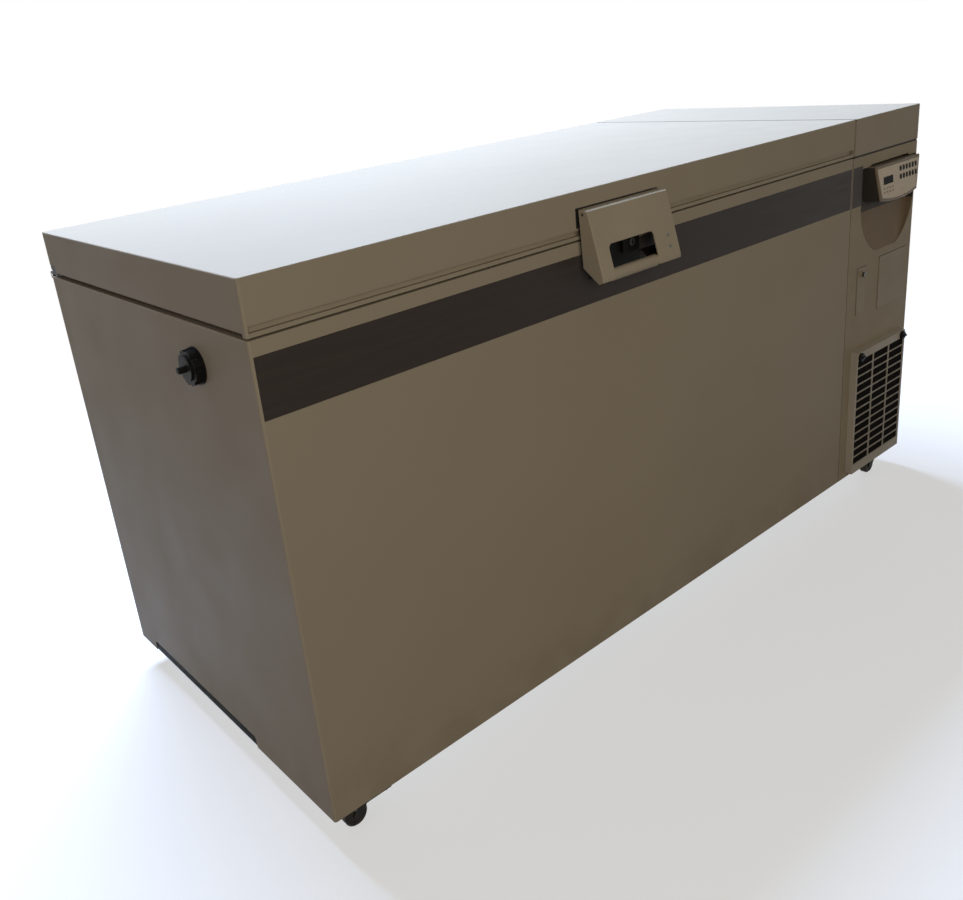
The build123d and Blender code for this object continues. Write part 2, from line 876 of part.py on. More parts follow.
with BuildPart() as handle_pin:
    with BuildSketch(Plane.YZ.offset(lever_left)):
        with Locations((pivot_y, pivot_z)):
            Circle(lever_pin_radius)
    extrude(amount=lever_width)
keep("handle_pin", handle_pin)

# Lock: a block on a back plate behind the lever's cut-out, with a key barrel in it
lock_x = window_left + lock_block_from_window + lock_block_width / 2
lock_z = pivot_z - lock_block_below_pivot + lock_block_height / 2
with BuildPart() as lock_block:
    with BuildSketch(facing_front(front - stripe_film)):
        with Locations((lock_x, lock_z)):
            RectangleRounded(lock_block_width, lock_block_height, lock_barrel_radius / 2)
    extrude(amount=lock_block_depth)
    block(
        (window_left - lock_plate_margin, front - stripe_film - lock_plate, grip_z - grip_radius),
        (window_right + lock_plate_margin, front - stripe_film, cabinet_top - lock_plate_below_top),
    )
    with BuildSketch(facing_front(front - stripe_film - lock_block_depth)):
        with Locations((lock_x, lock_z)):
            Circle(lock_barrel_radius + barrel_clearance)
    extrude(amount=-lock_barrel_seat, mode=Mode.SUBTRACT)
keep("lock_block", lock_block)

with BuildPart() as lock_barrel:
    with BuildSketch(facing_front(front - stripe_film - lock_block_depth + lock_barrel_seat)):
        with Locations((lock_x, lock_z)):
            Circle(lock_barrel_radius)
    extrude(amount=lock_barrel_seat + lock_barrel_proud)
    with BuildSketch(facing_front(front - stripe_film - lock_block_depth - lock_barrel_proud)):
        with Locations((lock_x, lock_z)):
            Rectangle(key_slot_width, key_slot_length)
    extrude(amount=-lock_barrel_seat / 2, mode=Mode.SUBTRACT)
keep("lock_barrel", lock_barrel)

# Machine cover: the fixed pan beside the lid, on a rim that stands on the compartment's flanges
rim_inset = panel_flange / 2
with BuildPart() as machine_cover:
    add(
        folded_pan(
            (cover_left, front, lid_bottom), (right, back, overall_height), sheet, corner_radius, edge_radius
        )
    )
    block(
        (cover_left + rim_inset, front + rim_inset, cabinet_top),
        (right - rim_inset, back - rim_inset, lid_bottom + lid_groove_top),
    )
    block(
        (cover_left + rim_inset + sheet, front + rim_inset + sheet, cabinet_top),
        (right - rim_inset - sheet, back - rim_inset - sheet, overall_height - sheet),
        mode=Mode.SUBTRACT,
    )
    block(
        (cover_left + sheet, front + sheet, lid_bottom + lid_groove_top),
        (right - sheet, back - sheet, lid_bottom + lid_groove_top + sheet),
    )
    block(
        (cover_left + panel_flange, front + panel_flange, lid_bottom),
        (right - panel_flange, back - panel_flange, overall_height - sheet),
        mode=Mode.SUBTRACT,
    )
keep("machine_cover", machine_cover)

# Scoop: the hollow in the fascia round the control pod, deepest at its top and running out below
scoop_middle = (scoop_left + scoop_right) / 2
scoop_bend = scoop_top - scoop_straight
scoop_fade = scoop_low + scoop_run_out
scoop_slope = scoop_depth / (scoop_top - scoop_fade)


def scoop_form(wall, face):
    """The hollow as an outline cut by a wedge, from depth face inwards, grown by a wall."""
    deepest = front + scoop_depth + wall
    with BuildPart() as form:
        with BuildSketch(facing_front(deepest)):
            with Locations((scoop_middle, scoop_bend)):
                Circle(scoop_width / 2 + wall)
                Rectangle(scoop_width + 2 * wall, scoop_straight + wall, align=(Align.CENTER, Align.MIN))
        extrude(amount=deepest - face)
        with BuildSketch(Plane.YZ.offset(scoop_left - wall)):
            with BuildLine():
                Polyline(
                    (front - scoop_depth, scoop_fade),
                    (front + wall, scoop_fade),
                    (front + wall + scoop_slope * scoop_height, scoop_fade + scoop_height),
                    (front - scoop_depth, scoop_fade + scoop_height),
                    close=True,
                )
            make_face()
        extrude(amount=scoop_width + 2 * wall, mode=Mode.INTERSECT)
    return form.part


# Fascia: the moulded front of the machine compartment, with the scoop, the intake and the plates' holes
grille_x = (fascia_left + right) / 2
grille_z = grille_bottom + grille_height / 2
open_width = grille_width - 2 * grille_side_margin
open_height = grille_height - grille_top_margin - grille_bottom_margin
open_z = grille_bottom + grille_bottom_margin + open_height / 2
knob_z = grille_bottom + grille_height - knob_drop
knob_spread = grille_width - 2 * knob_inset
key_plate_x = fascia_left + key_plate_from_left
blank_x = fascia_left + blank_from_left
with BuildPart() as fascia:
    add(
        folded_pan(
            (fascia_left - machine_width, front, floor_clearance),
            (right, back, cabinet_top),
            fascia_wall,
            fascia_corner,
            fascia_edge,
        )
    )
    split(bisect_by=Plane(origin=(fascia_left, 0, 0), z_dir=(1, 0, 0)), keep=Keep.TOP)
    split(bisect_by=Plane(origin=(0, front + fascia_return, 0), z_dir=(0, 1, 0)), keep=Keep.BOTTOM)
    add(scoop_form(fascia_wall, front + fascia_wall / 2))
    add(scoop_form(0, front - fascia_wall), mode=Mode.SUBTRACT)
    with BuildSketch(facing_front(front)):
        with Locations((grille_x, open_z)):
            Rectangle(open_width, open_height)
        with Locations((grille_x, knob_z)):
            with GridLocations(knob_spread, 0, 2, 1):
                Circle(knob_shank_radius + knob_hole_gap)
        with Locations((grille_x, grille_bottom + (tab_thickness + tab_slot_rise) / 2)):
            with GridLocations(tab_spacing, 0, 2, 1):
                Rectangle(tab_width + 2 * tab_slot_gap, tab_thickness + tab_slot_rise + 2 * tab_slot_gap)
        with Locations((key_plate_x, key_plate_centre)):
            Rectangle(key_plate_width, key_plate_height)
        with Locations((blank_x, blank_centre)):
            Rectangle(blank_width, blank_height)
    extrude(amount=-fascia_wall, mode=Mode.SUBTRACT)
keep("fascia", fascia)

# Control pod: a tapered moulding that stands on the scoop's sloping back
pod_left = scoop_left + pod_from_scoop
pod_right = pod_left + pod_top_width
pod_middle = (pod_left + pod_right) / 2
pod_top = scoop_top - pod_below_scoop
pod_upright = Plane(origin=(0, front - pod_proud, pod_top), x_dir=(1, 0, 0), z_dir=(0, -1, 0))
pod_face = pod_upright.rotated((-pod_lean, 0, 0))


def pod_outline(inset):
    """The pod's face outline below its top edge, set in by a margin."""
    low_left = (pod_middle - pod_bottom_width / 2 + inset, inset - pod_height)
    low_right = (pod_middle + pod_bottom_width / 2 - inset, inset - pod_height)
    with BuildSketch() as outline:
        with BuildLine():
            Polyline(low_left, (pod_left + inset, -inset), (pod_right - inset, -inset), low_right)
            ThreePointArc(low_right, (pod_middle, inset - pod_height - pod_belly), low_left)
        make_face()
    return outline.sketch


with BuildPart() as control_pod:
    with BuildSketch(pod_face):
        add(pod_outline(0))
    extrude(amount=-(scoop_depth + 2 * pod_proud))
    chamfer(control_pod.faces().sort_by(Axis.Y)[0].edges(), pod_edge)
    with BuildSketch(Plane.YZ.offset(pod_left)):
        with BuildLine():
            Polyline(
                (front - scoop_depth, scoop_fade),
                (front, scoop_fade),
                (front + scoop_depth, scoop_top),
                (front - scoop_depth, scoop_top),
                close=True,
            )
        make_face()
    extrude(amount=pod_top_width, mode=Mode.INTERSECT)
    with BuildSketch(pod_face):
        add(pod_outline(face_margin))
    extrude(amount=-face_panel, mode=Mode.SUBTRACT)
keep("control_pod", control_pod)

# Control face: the light panel set into the pod, with the display's window in it
display_x = pod_left + display_from_left + display_width / 2
with BuildPart() as control_face:
    with BuildSketch(pod_face.offset(-face_panel)):
        add(pod_outline(face_margin + fit_gap))
        with Locations((display_x, -display_centre_drop)):
            Rectangle(display_width + 2 * fit_gap, display_height + 2 * fit_gap, mode=Mode.SUBTRACT)
    extrude(amount=face_panel)
keep("control_face", control_face)

with BuildPart() as display_window:
    with BuildSketch(pod_face.offset(-face_panel)):
        with Locations((display_x, -display_centre_drop)):
            Rectangle(display_width, display_height)
    extrude(amount=display_glass)
keep("display_window", display_window)

# Keypad: twelve flat membrane pads on the control face
with BuildPart() as keypad_pads:
    with BuildSketch(pod_face):
        with Locations((pod_left + pad_centre_from_left, -pad_centre_drop)):
            with GridLocations(pad_pitch_x, pad_pitch_z, pad_columns, pad_rows):
                RectangleRounded(pad_width, pad_height, pad_radius)
    extrude(amount=pad_proud)
keep("keypad_pads", keypad_pads)

# Key plate: a narrow plate clipped into the fascia from behind, with the key switch's bezel near its top
key_z = key_plate_centre + key_plate_height / 2 - key_barrel_below_top
with BuildPart() as key_plate:
    with BuildSketch(facing_front(front + fascia_wall)):
        with Locations((key_plate_x, key_plate_centre)):
            Rectangle(key_plate_width - 2 * plate_line, key_plate_height - 2 * plate_line)
    extrude(amount=fascia_wall + plate_proud)
    with BuildSketch(facing_front(front + fascia_wall + plate_back)):
        with Locations((key_plate_x, key_plate_centre)):
            Rectangle(key_plate_width + 2 * plate_rim, key_plate_height + 2 * plate_rim)
    extrude(amount=plate_back)
    with BuildSketch(facing_front(front - plate_proud)):
        with Locations((key_plate_x, key_z)):
            Circle(key_bezel_radius)
    extrude(amount=key_bezel_proud)
    chamfer(key_plate.faces().sort_by(Axis.Y)[0].edges(), key_bezel_proud / 2)
    with BuildSketch(facing_front(front + fascia_wall + plate_back)):
        with Locations((key_plate_x, key_z)):
            Circle(key_barrel_radius + barrel_clearance)
    extrude(amount=far, mode=Mode.SUBTRACT)
keep("key_plate", key_plate)

with BuildPart() as key_barrel:
    with BuildSketch(facing_front(front + fascia_wall + plate_back)):
        with Locations((key_plate_x, key_z)):
            Circle(key_barrel_radius)
    extrude(amount=fascia_wall + plate_back + plate_proud + key_barrel_proud)
    with BuildSketch(facing_front(front - plate_proud - key_barrel_proud)):
        with Locations((key_plate_x, key_z)):
            Rectangle(key_slot_width, key_slot_length)
    extrude(amount=-key_barrel_proud / 2, mode=Mode.SUBTRACT)
keep("key_barrel", key_barrel)

# Blank cover: the square plate over an unused instrument cut-out, clipped in from behind
with BuildPart() as blank_cover:
    with BuildSketch(facing_front(front + fascia_wall)):
        with Locations((blank_x, blank_centre)):
            Rectangle(blank_width - 2 * plate_line, blank_height - 2 * plate_line)
    extrude(amount=fascia_wall + plate_proud)
    with BuildSketch(facing_front(front + fascia_wall + plate_back)):
        with Locations((blank_x, blank_centre)):
            Rectangle(blank_width + 2 * plate_rim, blank_height + 2 * plate_rim)
    extrude(amount=plate_back)
keep("blank_cover", blank_cover)

# Intake grille: a moulded frame with rows of openings, held by two tabs below and two knobs above
grille_back = front - grille_gap
grille_front = grille_back - grille_depth
slot_width = (open_width - (grille_columns - 1) * grille_post) / grille_columns
slot_height = (open_height - (grille_rows - 1) * grille_bar) / grille_rows
with BuildPart() as grille:
    with BuildSketch(facing_front(grille_back)):
        with Locations((grille_x, grille_z)):
            RectangleRounded(grille_width, grille_height, grille_corner)
    extrude(amount=grille_depth, taper=grille_draft)
    with BuildSketch(facing_front(grille_back)):
        with Locations((grille_x, grille_z)):
            Rectangle(grille_width - 2 * grille_wall, grille_height - 2 * grille_wall)
    extrude(amount=grille_depth - grille_face, taper=grille_draft, mode=Mode.SUBTRACT)
    with BuildSketch(facing_front(grille_front)):
        with Locations((grille_x, open_z)):
            with GridLocations(
                slot_width + grille_post, slot_height + grille_bar, grille_columns, grille_rows
            ):
                Rectangle(slot_width, slot_height)
        with Locations((grille_x, knob_z)):
            with GridLocations(knob_spread, 0, 2, 1):
                Circle(knob_shank_radius + barrel_clearance)
    extrude(amount=-grille_face, mode=Mode.SUBTRACT)
    for side in (-1, 1):
        tab_x = grille_x + side * tab_spacing / 2
        block(
            (tab_x - tab_width / 2, grille_back, grille_bottom),
            (tab_x + tab_width / 2, front + tab_reach, grille_bottom + tab_thickness),
        )
keep("grille", grille)

# Air filter: a dark pad in the grille's hollow, against the back of its bars
with BuildPart() as air_filter:
    with BuildSketch(facing_front(grille_front + grille_face + filter_thickness)):
        with Locations((grille_x, open_z)):
            Rectangle(open_width + 2 * filter_lap, open_height + 2 * filter_lap)
    extrude(amount=filter_thickness)
keep("air_filter", air_filter)

# Grille knobs: quarter-turn fasteners whose shanks reach through the grille into the fascia
for side, name in ((-1, "grille_knob_left"), (1, "grille_knob_right")):
    knob_x = grille_x + side * knob_spread / 2
    with BuildPart() as knob:
        with BuildSketch(facing_front(grille_front)):
            with Locations((knob_x, knob_z)):
                Circle(knob_radius)
        extrude(amount=knob_height - knob_rib)
        chamfer(knob.faces().sort_by(Axis.Y)[0].edges(), knob_rib / 2)
        with BuildSketch(facing_front(grille_front - knob_height + knob_rib)):
            with Locations((knob_x, knob_z)):
                Rectangle(2 * (knob_radius - knob_rib), knob_grip_width)
        extrude(amount=knob_rib)
        with BuildSketch(facing_front(front + knob_shank_reach)):
            with Locations((knob_x, knob_z)):
                Circle(knob_shank_radius)
        extrude(amount=knob_shank_reach + grille_gap + grille_depth)
    keep(name, knob)

# Condenser: upright fins on flat tubes between two end plates that stand on the base pan
condenser_front = front + condenser_behind_front
condenser_back = condenser_front + condenser_depth
core_left = grille_x - open_width / 2
core_right = grille_x + open_width / 2
core_low = open_z - open_height / 2
core_high = open_z + open_height / 2
end_left = core_left - condenser_margin
end_right = core_right + condenser_margin
fin_pitch = open_width / (condenser_fins - 1)
tube_pitch = open_height / condenser_tubes
with BuildPart() as condenser:
    for x in (end_left, end_right - condenser_end_plate):
        block(
            (x, condenser_front, base_top),
            (x + condenser_end_plate, condenser_back, core_high + condenser_margin),
        )
    for i in range(condenser_fins):
        x = core_left + i * fin_pitch
        block(
            (x - condenser_fin / 2, condenser_front + condenser_fin, core_low),
            (x + condenser_fin / 2, condenser_back - condenser_fin, core_high),
        )
    for i in range(condenser_tubes):
        z = core_low + (i + 1 / 2) * tube_pitch
        y = (condenser_front + condenser_back) / 2
        block(
            (end_left, y - condenser_tube / 2, z - condenser_tube / 2),
            (end_right, y + condenser_tube / 2, z + condenser_tube / 2),
        )
keep("condenser", condenser)

# Fan shroud: a sheet behind the condenser with a round throat and arms to the motor's seat
fan_radius = min(open_width, open_height) / 2 - fan_margin
throat_radius = fan_radius + fan_tip_gap
shroud_back = condenser_back + shroud_throat_depth
motor_front = shroud_back + motor_arm_sheet
fan_axis = (grille_x, open_z)
with BuildPart() as fan_shroud:
    block(
        (end_left, condenser_back, base_top),
        (end_right, condenser_back + shroud_sheet, core_high + condenser_margin),
    )
    with BuildSketch(facing_front(condenser_back)):
        with Locations(fan_axis):
            Circle(throat_radius + shroud_throat_wall)
    extrude(amount=-shroud_throat_depth)
    with BuildSketch(facing_front(condenser_back)):
        with Locations(fan_axis):
            Circle(throat_radius)
    extrude(amount=-shroud_throat_depth, mode=Mode.SUBTRACT)
    with BuildSketch(facing_front(shroud_back)):
        with Locations(fan_axis):
            Circle(motor_radius)
            with PolarLocations(throat_radius / 2, motor_arm_count):
                Rectangle(throat_radius + 2 * shroud_throat_wall, motor_arm)
            Circle(fan_shaft_hole, mode=Mode.SUBTRACT)
    extrude(amount=-motor_arm_sheet)
keep("fan_shroud", fan_shroud)

# Fan motor: a closed can on the shroud's arms, bored for the shaft
with BuildPart() as fan_motor:
    with BuildSketch(facing_front(motor_front)):
        with Locations(fan_axis):
            Circle(motor_radius)
    extrude(amount=-motor_length)
    with BuildSketch(facing_front(motor_front)):
        with Locations(fan_axis):
            Circle(fan_shaft_radius + fan_shaft_clearance)
    extrude(amount=-motor_bore_depth, mode=Mode.SUBTRACT)
keep("fan_motor", fan_motor)

# Fan: pitched blades on a hub, trimmed round, on a shaft that runs in the motor
fan_y = condenser_back + shroud_throat_depth / 2
blade_length = fan_radius - fan_hub_radius / 2
blade_middle = Plane(origin=(grille_x, fan_y, open_z), x_dir=(1, 0, 0), z_dir=(0, -1, 0))
with BuildPart() as fan:
    with Locations(blade_middle):
        with PolarLocations(fan_radius - blade_length / 2, fan_blade_count):
            Box(blade_length, fan_blade_width, fan_blade_thickness, rotation=(fan_blade_pitch, 0, 0))
        Cylinder(fan_hub_radius, fan_hub_length)
        Cylinder(fan_radius, shroud_throat_depth, mode=Mode.INTERSECT)
    with BuildSketch(facing_front(fan_y)):
        with Locations(fan_axis):
            Circle(fan_shaft_radius)
    extrude(amount=-(motor_front + motor_bore_depth / 2 - fan_y))
keep("fan", fan)

# Compressors: two closed pots on foot plates, each on four rubber grommets
compressor_x = (bulkhead_right + right) / 2
foot_low = base_top + grommet_height
pot_low = foot_low + compressor_foot
for stage, name in enumerate(("compressor_first_stage", "compressor_second_stage")):
    y = back - compressor_from_back - stage * compressor_pitch
    with BuildPart() as compressor:
        with BuildSketch(Plane.XY.offset(pot_low)):
            with Locations((compressor_x, y)):
                Circle(compressor_radius)
        extrude(amount=compressor_height)
        chamfer(compressor.edges().filter_by(GeomType.CIRCLE), compressor_dome)
        block(
            (compressor_x - compressor_foot_length / 2, y - compressor_foot_width / 2, foot_low),
            (compressor_x + compressor_foot_length / 2, y + compressor_foot_width / 2, pot_low),
        )
    keep(name, compressor)

with BuildPart() as compressor_grommets:
    with BuildSketch(Plane.XY.offset(base_top)):
        for stage in range(2):
            with Locations((compressor_x, back - compressor_from_back - stage * compressor_pitch)):
                with GridLocations(
                    compressor_foot_length - 2 * grommet_inset,
                    compressor_foot_width - 2 * grommet_inset,
                    2,
                    2,
                ):
                    Circle(grommet_radius)
    extrude(amount=grommet_height)
keep("compressor_grommets", compressor_grommets)

# Oil separator and heat exchanger: closed vessels that stand on the base pan
with BuildPart() as oil_separator:
    with BuildSketch(Plane.XY.offset(base_top)):
        with Locations((right - separator_from_right, back - separator_from_back)):
            Circle(separator_radius)
    extrude(amount=separator_height)
    chamfer(oil_separator.edges().filter_by(GeomType.CIRCLE), separator_dome)
keep("oil_separator", oil_separator)

with BuildPart() as heat_exchanger:
    block(
        (bulkhead_right, back - exchanger_from_back, base_top),
        (
            bulkhead_right + exchanger_width,
            back - exchanger_from_back + exchanger_depth,
            base_top + exchanger_height,
        ),
    )
keep("heat_exchanger", heat_exchanger)

# Control box: the electrical box on the bulkhead, with an overhanging lid
box_high = cabinet_top - control_box_drop
with BuildPart() as control_box:
    block(
        (bulkhead_right, back - control_box_from_back, box_high - control_box_height),
        (bulkhead_right + control_box_width, back - control_box_from_back + control_box_depth, box_high),
    )
    block(
        (bulkhead_right, back - control_box_from_back - control_box_lip, box_high),
        (
            bulkhead_right + control_box_width + control_box_lip,
            back - control_box_from_back + control_box_depth + control_box_lip,
            box_high + control_box_lid,
        ),
    )
keep("control_box", control_box)

# Power inlet: a flanged socket in the rear panel with three blades
with BuildPart() as power_inlet:
    with BuildSketch(facing_front(back)):
        with Locations((inlet_x, inlet_centre)):
            Rectangle(inlet_width + 2 * inlet_flange_rim, inlet_height + 2 * inlet_flange_rim)
    extrude(amount=-inlet_flange)
    with BuildSketch(facing_front(back)):
        with Locations((inlet_x, inlet_centre)):
            Rectangle(inlet_width, inlet_height)
    extrude(amount=inlet_depth)
    with BuildSketch(facing_front(back + inlet_flange)):
        with Locations((inlet_x, inlet_centre)):
            Rectangle(inlet_width - 2 * inlet_wall, inlet_height - 2 * inlet_wall)
    extrude(amount=inlet_flange + inlet_depth - inlet_floor, mode=Mode.SUBTRACT)
    with BuildSketch(facing_front(back - inlet_depth + inlet_floor)):
        with Locations((inlet_x, inlet_centre)):
            with GridLocations(inlet_pin_spread, 0, 3, 1):
                Rectangle(inlet_pin_width, inlet_pin_height)
    extrude(amount=-(inlet_depth - inlet_floor) / 2)
keep("power_inlet", power_inlet)

# Port: a scalloped black fitting through the left side, with a sprung pin in its bore
port_face = port_flange + port_body + port_cap
with BuildPart() as port_body_piece:
    for radius, start, end in (
        (port_spigot_radius, -port_spigot, 0),
        (port_flange_radius, 0, port_flange),
        (port_body_radius, port_flange, port_flange + port_body),
        (port_cap_radius, port_flange + port_body, port_face),
    ):
        with BuildSketch(port_plane.offset(start)):
            Circle(radius)
        extrude(amount=end - start)
    with BuildSketch(port_plane.offset(port_flange)):
        with PolarLocations(port_body_radius + port_scallop_radius - port_scallop_bite, port_scallops):
            Circle(port_scallop_radius)
    extrude(amount=port_body, mode=Mode.SUBTRACT)
    with BuildSketch(port_plane.offset(-port_spigot)):
        Circle(port_pin_radius + port_clearance)
    extrude(amount=port_spigot + port_face, mode=Mode.SUBTRACT)
keep("port_body", port_body_piece)

with BuildPart() as port_pin:
    with BuildSketch(port_plane.offset(-port_pin_tail)):
        Circle(port_pin_radius)
    extrude(amount=port_pin_tail + port_face + port_pin_proud)
    chamfer(port_pin.faces().sort_by(Axis.X)[0].edges(), port_pin_radius / 4)
keep("port_pin", port_pin)

# Casters: plates under the base pan, forks that swivel below them and wheels on the forks' axles
corners = {
    "front_left": (left + caster_inset, front + caster_inset_depth),
    "front_right": (right - caster_inset, front + caster_inset_depth),
    "rear_left": (left + caster_inset, back - caster_inset_depth),
    "rear_right": (right - caster_inset, back - caster_inset_depth),
}
race_low = floor_clearance - caster_plate_thickness - caster_race_height
crown_high = race_low - caster_swivel_gap
crown_low = crown_high - caster_crown
axle_z = wheel_radius
leg_gap = wheel_width / 2 + wheel_side_gap

with BuildPart() as caster_plates:
    for x, y in corners.values():
        with BuildSketch(Plane.XY.offset(race_low + caster_race_height)):
            with Locations((x, y)):
                Rectangle(caster_plate_length, caster_plate_width)
        extrude(amount=caster_plate_thickness)
        with BuildSketch(Plane.XY.offset(race_low)):
            with Locations((x, y)):
                Circle(caster_race_radius)
        extrude(amount=caster_race_height)
keep("caster_plates", caster_plates)

for corner, (x, y) in corners.items():
    with BuildPart() as fork:
        with BuildSketch(Plane.XY.offset(crown_low)):
            with Locations((x, y)):
                Circle(caster_crown_radius)
        extrude(amount=caster_crown)
        for leg_y in (y - leg_gap, y + leg_gap + caster_leg):
            with BuildSketch(facing_front(leg_y)):
                with Locations((x - caster_trail, axle_z)):
                    Circle(caster_leg_radius)
                with Locations((x, crown_low + caster_crown / 2)):
                    Rectangle(2 * caster_leg_radius, caster_crown)
                make_hull()
            extrude(amount=caster_leg)
        with BuildSketch(facing_front(y + leg_gap + caster_leg)):
            with Locations((x - caster_trail, axle_z)):
                Circle(caster_axle_radius)
        extrude(amount=2 * (leg_gap + caster_leg))
    keep(f"caster_fork_{corner}", fork)

    with BuildPart() as wheel:
        with BuildSketch(facing_front(y + wheel_width / 2)):
            with Locations((x - caster_trail, axle_z)):
                Circle(wheel_radius)
        extrude(amount=wheel_width)
        chamfer(wheel.edges().filter_by(GeomType.CIRCLE), wheel_edge)
        for side, depth in (
            (y + wheel_width / 2, wheel_hub_recess),
            (y - wheel_width / 2, -wheel_hub_recess),
        ):
            with BuildSketch(facing_front(side)):
                with Locations((x - caster_trail, axle_z)):
                    Circle(wheel_hub_radius)
            extrude(amount=depth, mode=Mode.SUBTRACT)
        with BuildSketch(facing_front(y + wheel_width / 2)):
            with Locations((x - caster_trail, axle_z)):
                Circle(caster_axle_radius + caster_axle_clearance)
        extrude(amount=wheel_width, mode=Mode.SUBTRACT)
    keep(f"caster_wheel_{corner}", wheel)
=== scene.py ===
import bpy
from mathutils import Matrix, Vector


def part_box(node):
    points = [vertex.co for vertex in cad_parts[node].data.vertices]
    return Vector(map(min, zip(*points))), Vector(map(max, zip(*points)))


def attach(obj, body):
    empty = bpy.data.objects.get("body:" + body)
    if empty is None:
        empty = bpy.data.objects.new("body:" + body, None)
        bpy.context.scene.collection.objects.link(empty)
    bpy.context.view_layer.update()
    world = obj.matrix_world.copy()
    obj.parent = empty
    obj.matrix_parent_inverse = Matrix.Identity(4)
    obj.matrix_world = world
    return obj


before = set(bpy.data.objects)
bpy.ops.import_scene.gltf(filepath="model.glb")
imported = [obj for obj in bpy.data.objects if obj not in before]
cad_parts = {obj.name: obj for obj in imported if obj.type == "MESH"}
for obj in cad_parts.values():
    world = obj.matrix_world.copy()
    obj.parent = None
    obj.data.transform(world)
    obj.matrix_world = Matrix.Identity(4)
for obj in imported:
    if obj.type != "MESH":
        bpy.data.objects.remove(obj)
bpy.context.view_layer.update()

# Cabinet wrap
# One folded steel sheet round the front and the left side, powder coated in a warm grey, as are the back
# and right panels. It is bent on a press brake and screwed on, so it shows soft bends and no seams.
cabinet_grey = (0.335, 0.305, 0.258)
cabinet_grey_worn = (0.300, 0.268, 0.222)
cabinet_floor_dust = (0.19, 0.165, 0.13)
coat_shine = 0.04
coat_drift, coat_scuffing, coat_dusting = 0.3, 0.12, 0.4
dust_thick_below, dust_none_above = 0.07, 0.2


def new_finish(name, roughness, metallic=0.0, shine=0.5):
    """A bare finish: its node tree and shader, and the piece's own Object coordinates."""
    finish = bpy.data.materials.new(name)
    finish.use_nodes = True
    tree = finish.node_tree
    shader = tree.nodes["Principled BSDF"]
    shader.inputs["Roughness"].default_value = roughness
    shader.inputs["Metallic"].default_value = metallic
    shader.inputs["Specular IOR Level"].default_value = shine
    place = tree.nodes.new("ShaderNodeTexCoord").outputs["Object"]
    return finish, tree, shader, place


def stretched(tree, place, scale):
    """The coordinates scaled along each axis, for grain and scratches that run one way."""
    mapping = tree.nodes.new("ShaderNodeMapping")
    mapping.inputs["Scale"].default_value = scale
    tree.links.new(place, mapping.inputs["Vector"])
    return mapping.outputs["Vector"]


def cloudy(tree, place, scale, detail):
    """Soft noise between 0 and 1, with about scale features to the metre."""
    noise = tree.nodes.new("ShaderNodeTexNoise")
    noise.inputs["Scale"].default_value = scale
    noise.inputs["Detail"].default_value = detail
    tree.links.new(place, noise.inputs["Vector"])
    return noise.outputs["Fac"]


def spread(tree, value, low, high, to_low=0.0, to_high=1.0):
    """The value between low and high, spread from to_low to to_high and held at both ends."""
    remap = tree.nodes.new("ShaderNodeMapRange")
    remap.inputs["From Min"].default_value = low
    remap.inputs["From Max"].default_value = high
    remap.inputs["To Min"].default_value = to_low
    remap.inputs["To Max"].default_value = to_high
    tree.links.new(value, remap.inputs["Value"])
    return remap.outputs["Result"]


def times(tree, one, other):
    """Two masks, one inside the other; either may be a plain number."""
    product = tree.nodes.new("ShaderNodeMath")
    product.operation = "MULTIPLY"
    for value, socket in ((one, product.inputs[0]), (other, product.inputs[1])):
        if isinstance(value, float):
            socket.default_value = value
        else:
            tree.links.new(value, socket)
    return product.outputs["Value"]


def tinted(tree, mask, below, above):
    """Colour below where the mask is 0 and above where it is 1; either may be another colour's output."""
    mix = tree.nodes.new("ShaderNodeMix")
    mix.data_type = "RGBA"
    tree.links.new(mask, mix.inputs["Factor"])
    for colour, socket in ((below, mix.inputs["A"]), (above, mix.inputs["B"])):
        if isinstance(colour, tuple):
            socket.default_value = (*colour, 1.0)
        else:
            tree.links.new(colour, socket)
    return mix.outputs["Result"]


def raised(tree, shader, height, strength, distance):
    """Bump on the finish from a height mask."""
    bump = tree.nodes.new("ShaderNodeBump")
    bump.inputs["Strength"].default_value = strength
    bump.inputs["Distance"].default_value = distance
    tree.links.new(height, bump.inputs["Height"])
    tree.links.new(bump.outputs["Normal"], shader.inputs["Normal"])


def along(tree, place, axis):
    """One of the coordinates by itself."""
    split = tree.nodes.new("ShaderNodeSeparateXYZ")
    tree.links.new(place, split.inputs["Vector"])
    return split.outputs[axis]


def powder_coat(name, colour, worn, dust, roughness=0.42):
    """Powder coat on sheet: orange peel, slow drift of tone, faint scuffs and dust towards the floor."""
    finish, tree, shader, place = new_finish(name, roughness, shine=coat_shine)
    drift = spread(tree, cloudy(tree, place, scale=2.2, detail=4.0), low=0.3, high=0.75)
    tone = tinted(tree, times(tree, drift, coat_drift), colour, worn)
    upright = stretched(tree, place, (6.0, 6.0, 38.0))
    scuffs = spread(tree, cloudy(tree, upright, scale=3.0, detail=6.0), low=0.66, high=0.78)
    tone = tinted(tree, times(tree, scuffs, coat_scuffing), tone, worn)
    height = along(tree, place, "Z")
    low_down = spread(tree, height, dust_thick_below, dust_none_above, to_low=1.0, to_high=0.0)
    speckle = spread(tree, cloudy(tree, place, scale=14.0, detail=8.0), low=0.35, high=0.75)
    tone = tinted(tree, times(tree, times(tree, low_down, speckle), coat_dusting), tone, dust)
    tree.links.new(tone, shader.inputs["Base Color"])
    gloss = cloudy(tree, place, scale=9.0, detail=5.0)
    sheen = spread(tree, gloss, 0.3, 0.7, to_low=roughness - 0.04, to_high=roughness + 0.06)
    tree.links.new(sheen, shader.inputs["Roughness"])
    orange_peel = cloudy(tree, place, scale=420.0, detail=2.0)
    raised(tree, shader, orange_peel, strength=0.12, distance=0.0004)
    return finish


def dress(finish, *nodes):
    """Gives CAD nodes their finish."""
    for node in nodes:
        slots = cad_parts[node].data.materials
        slots.clear()
        slots.append(finish)


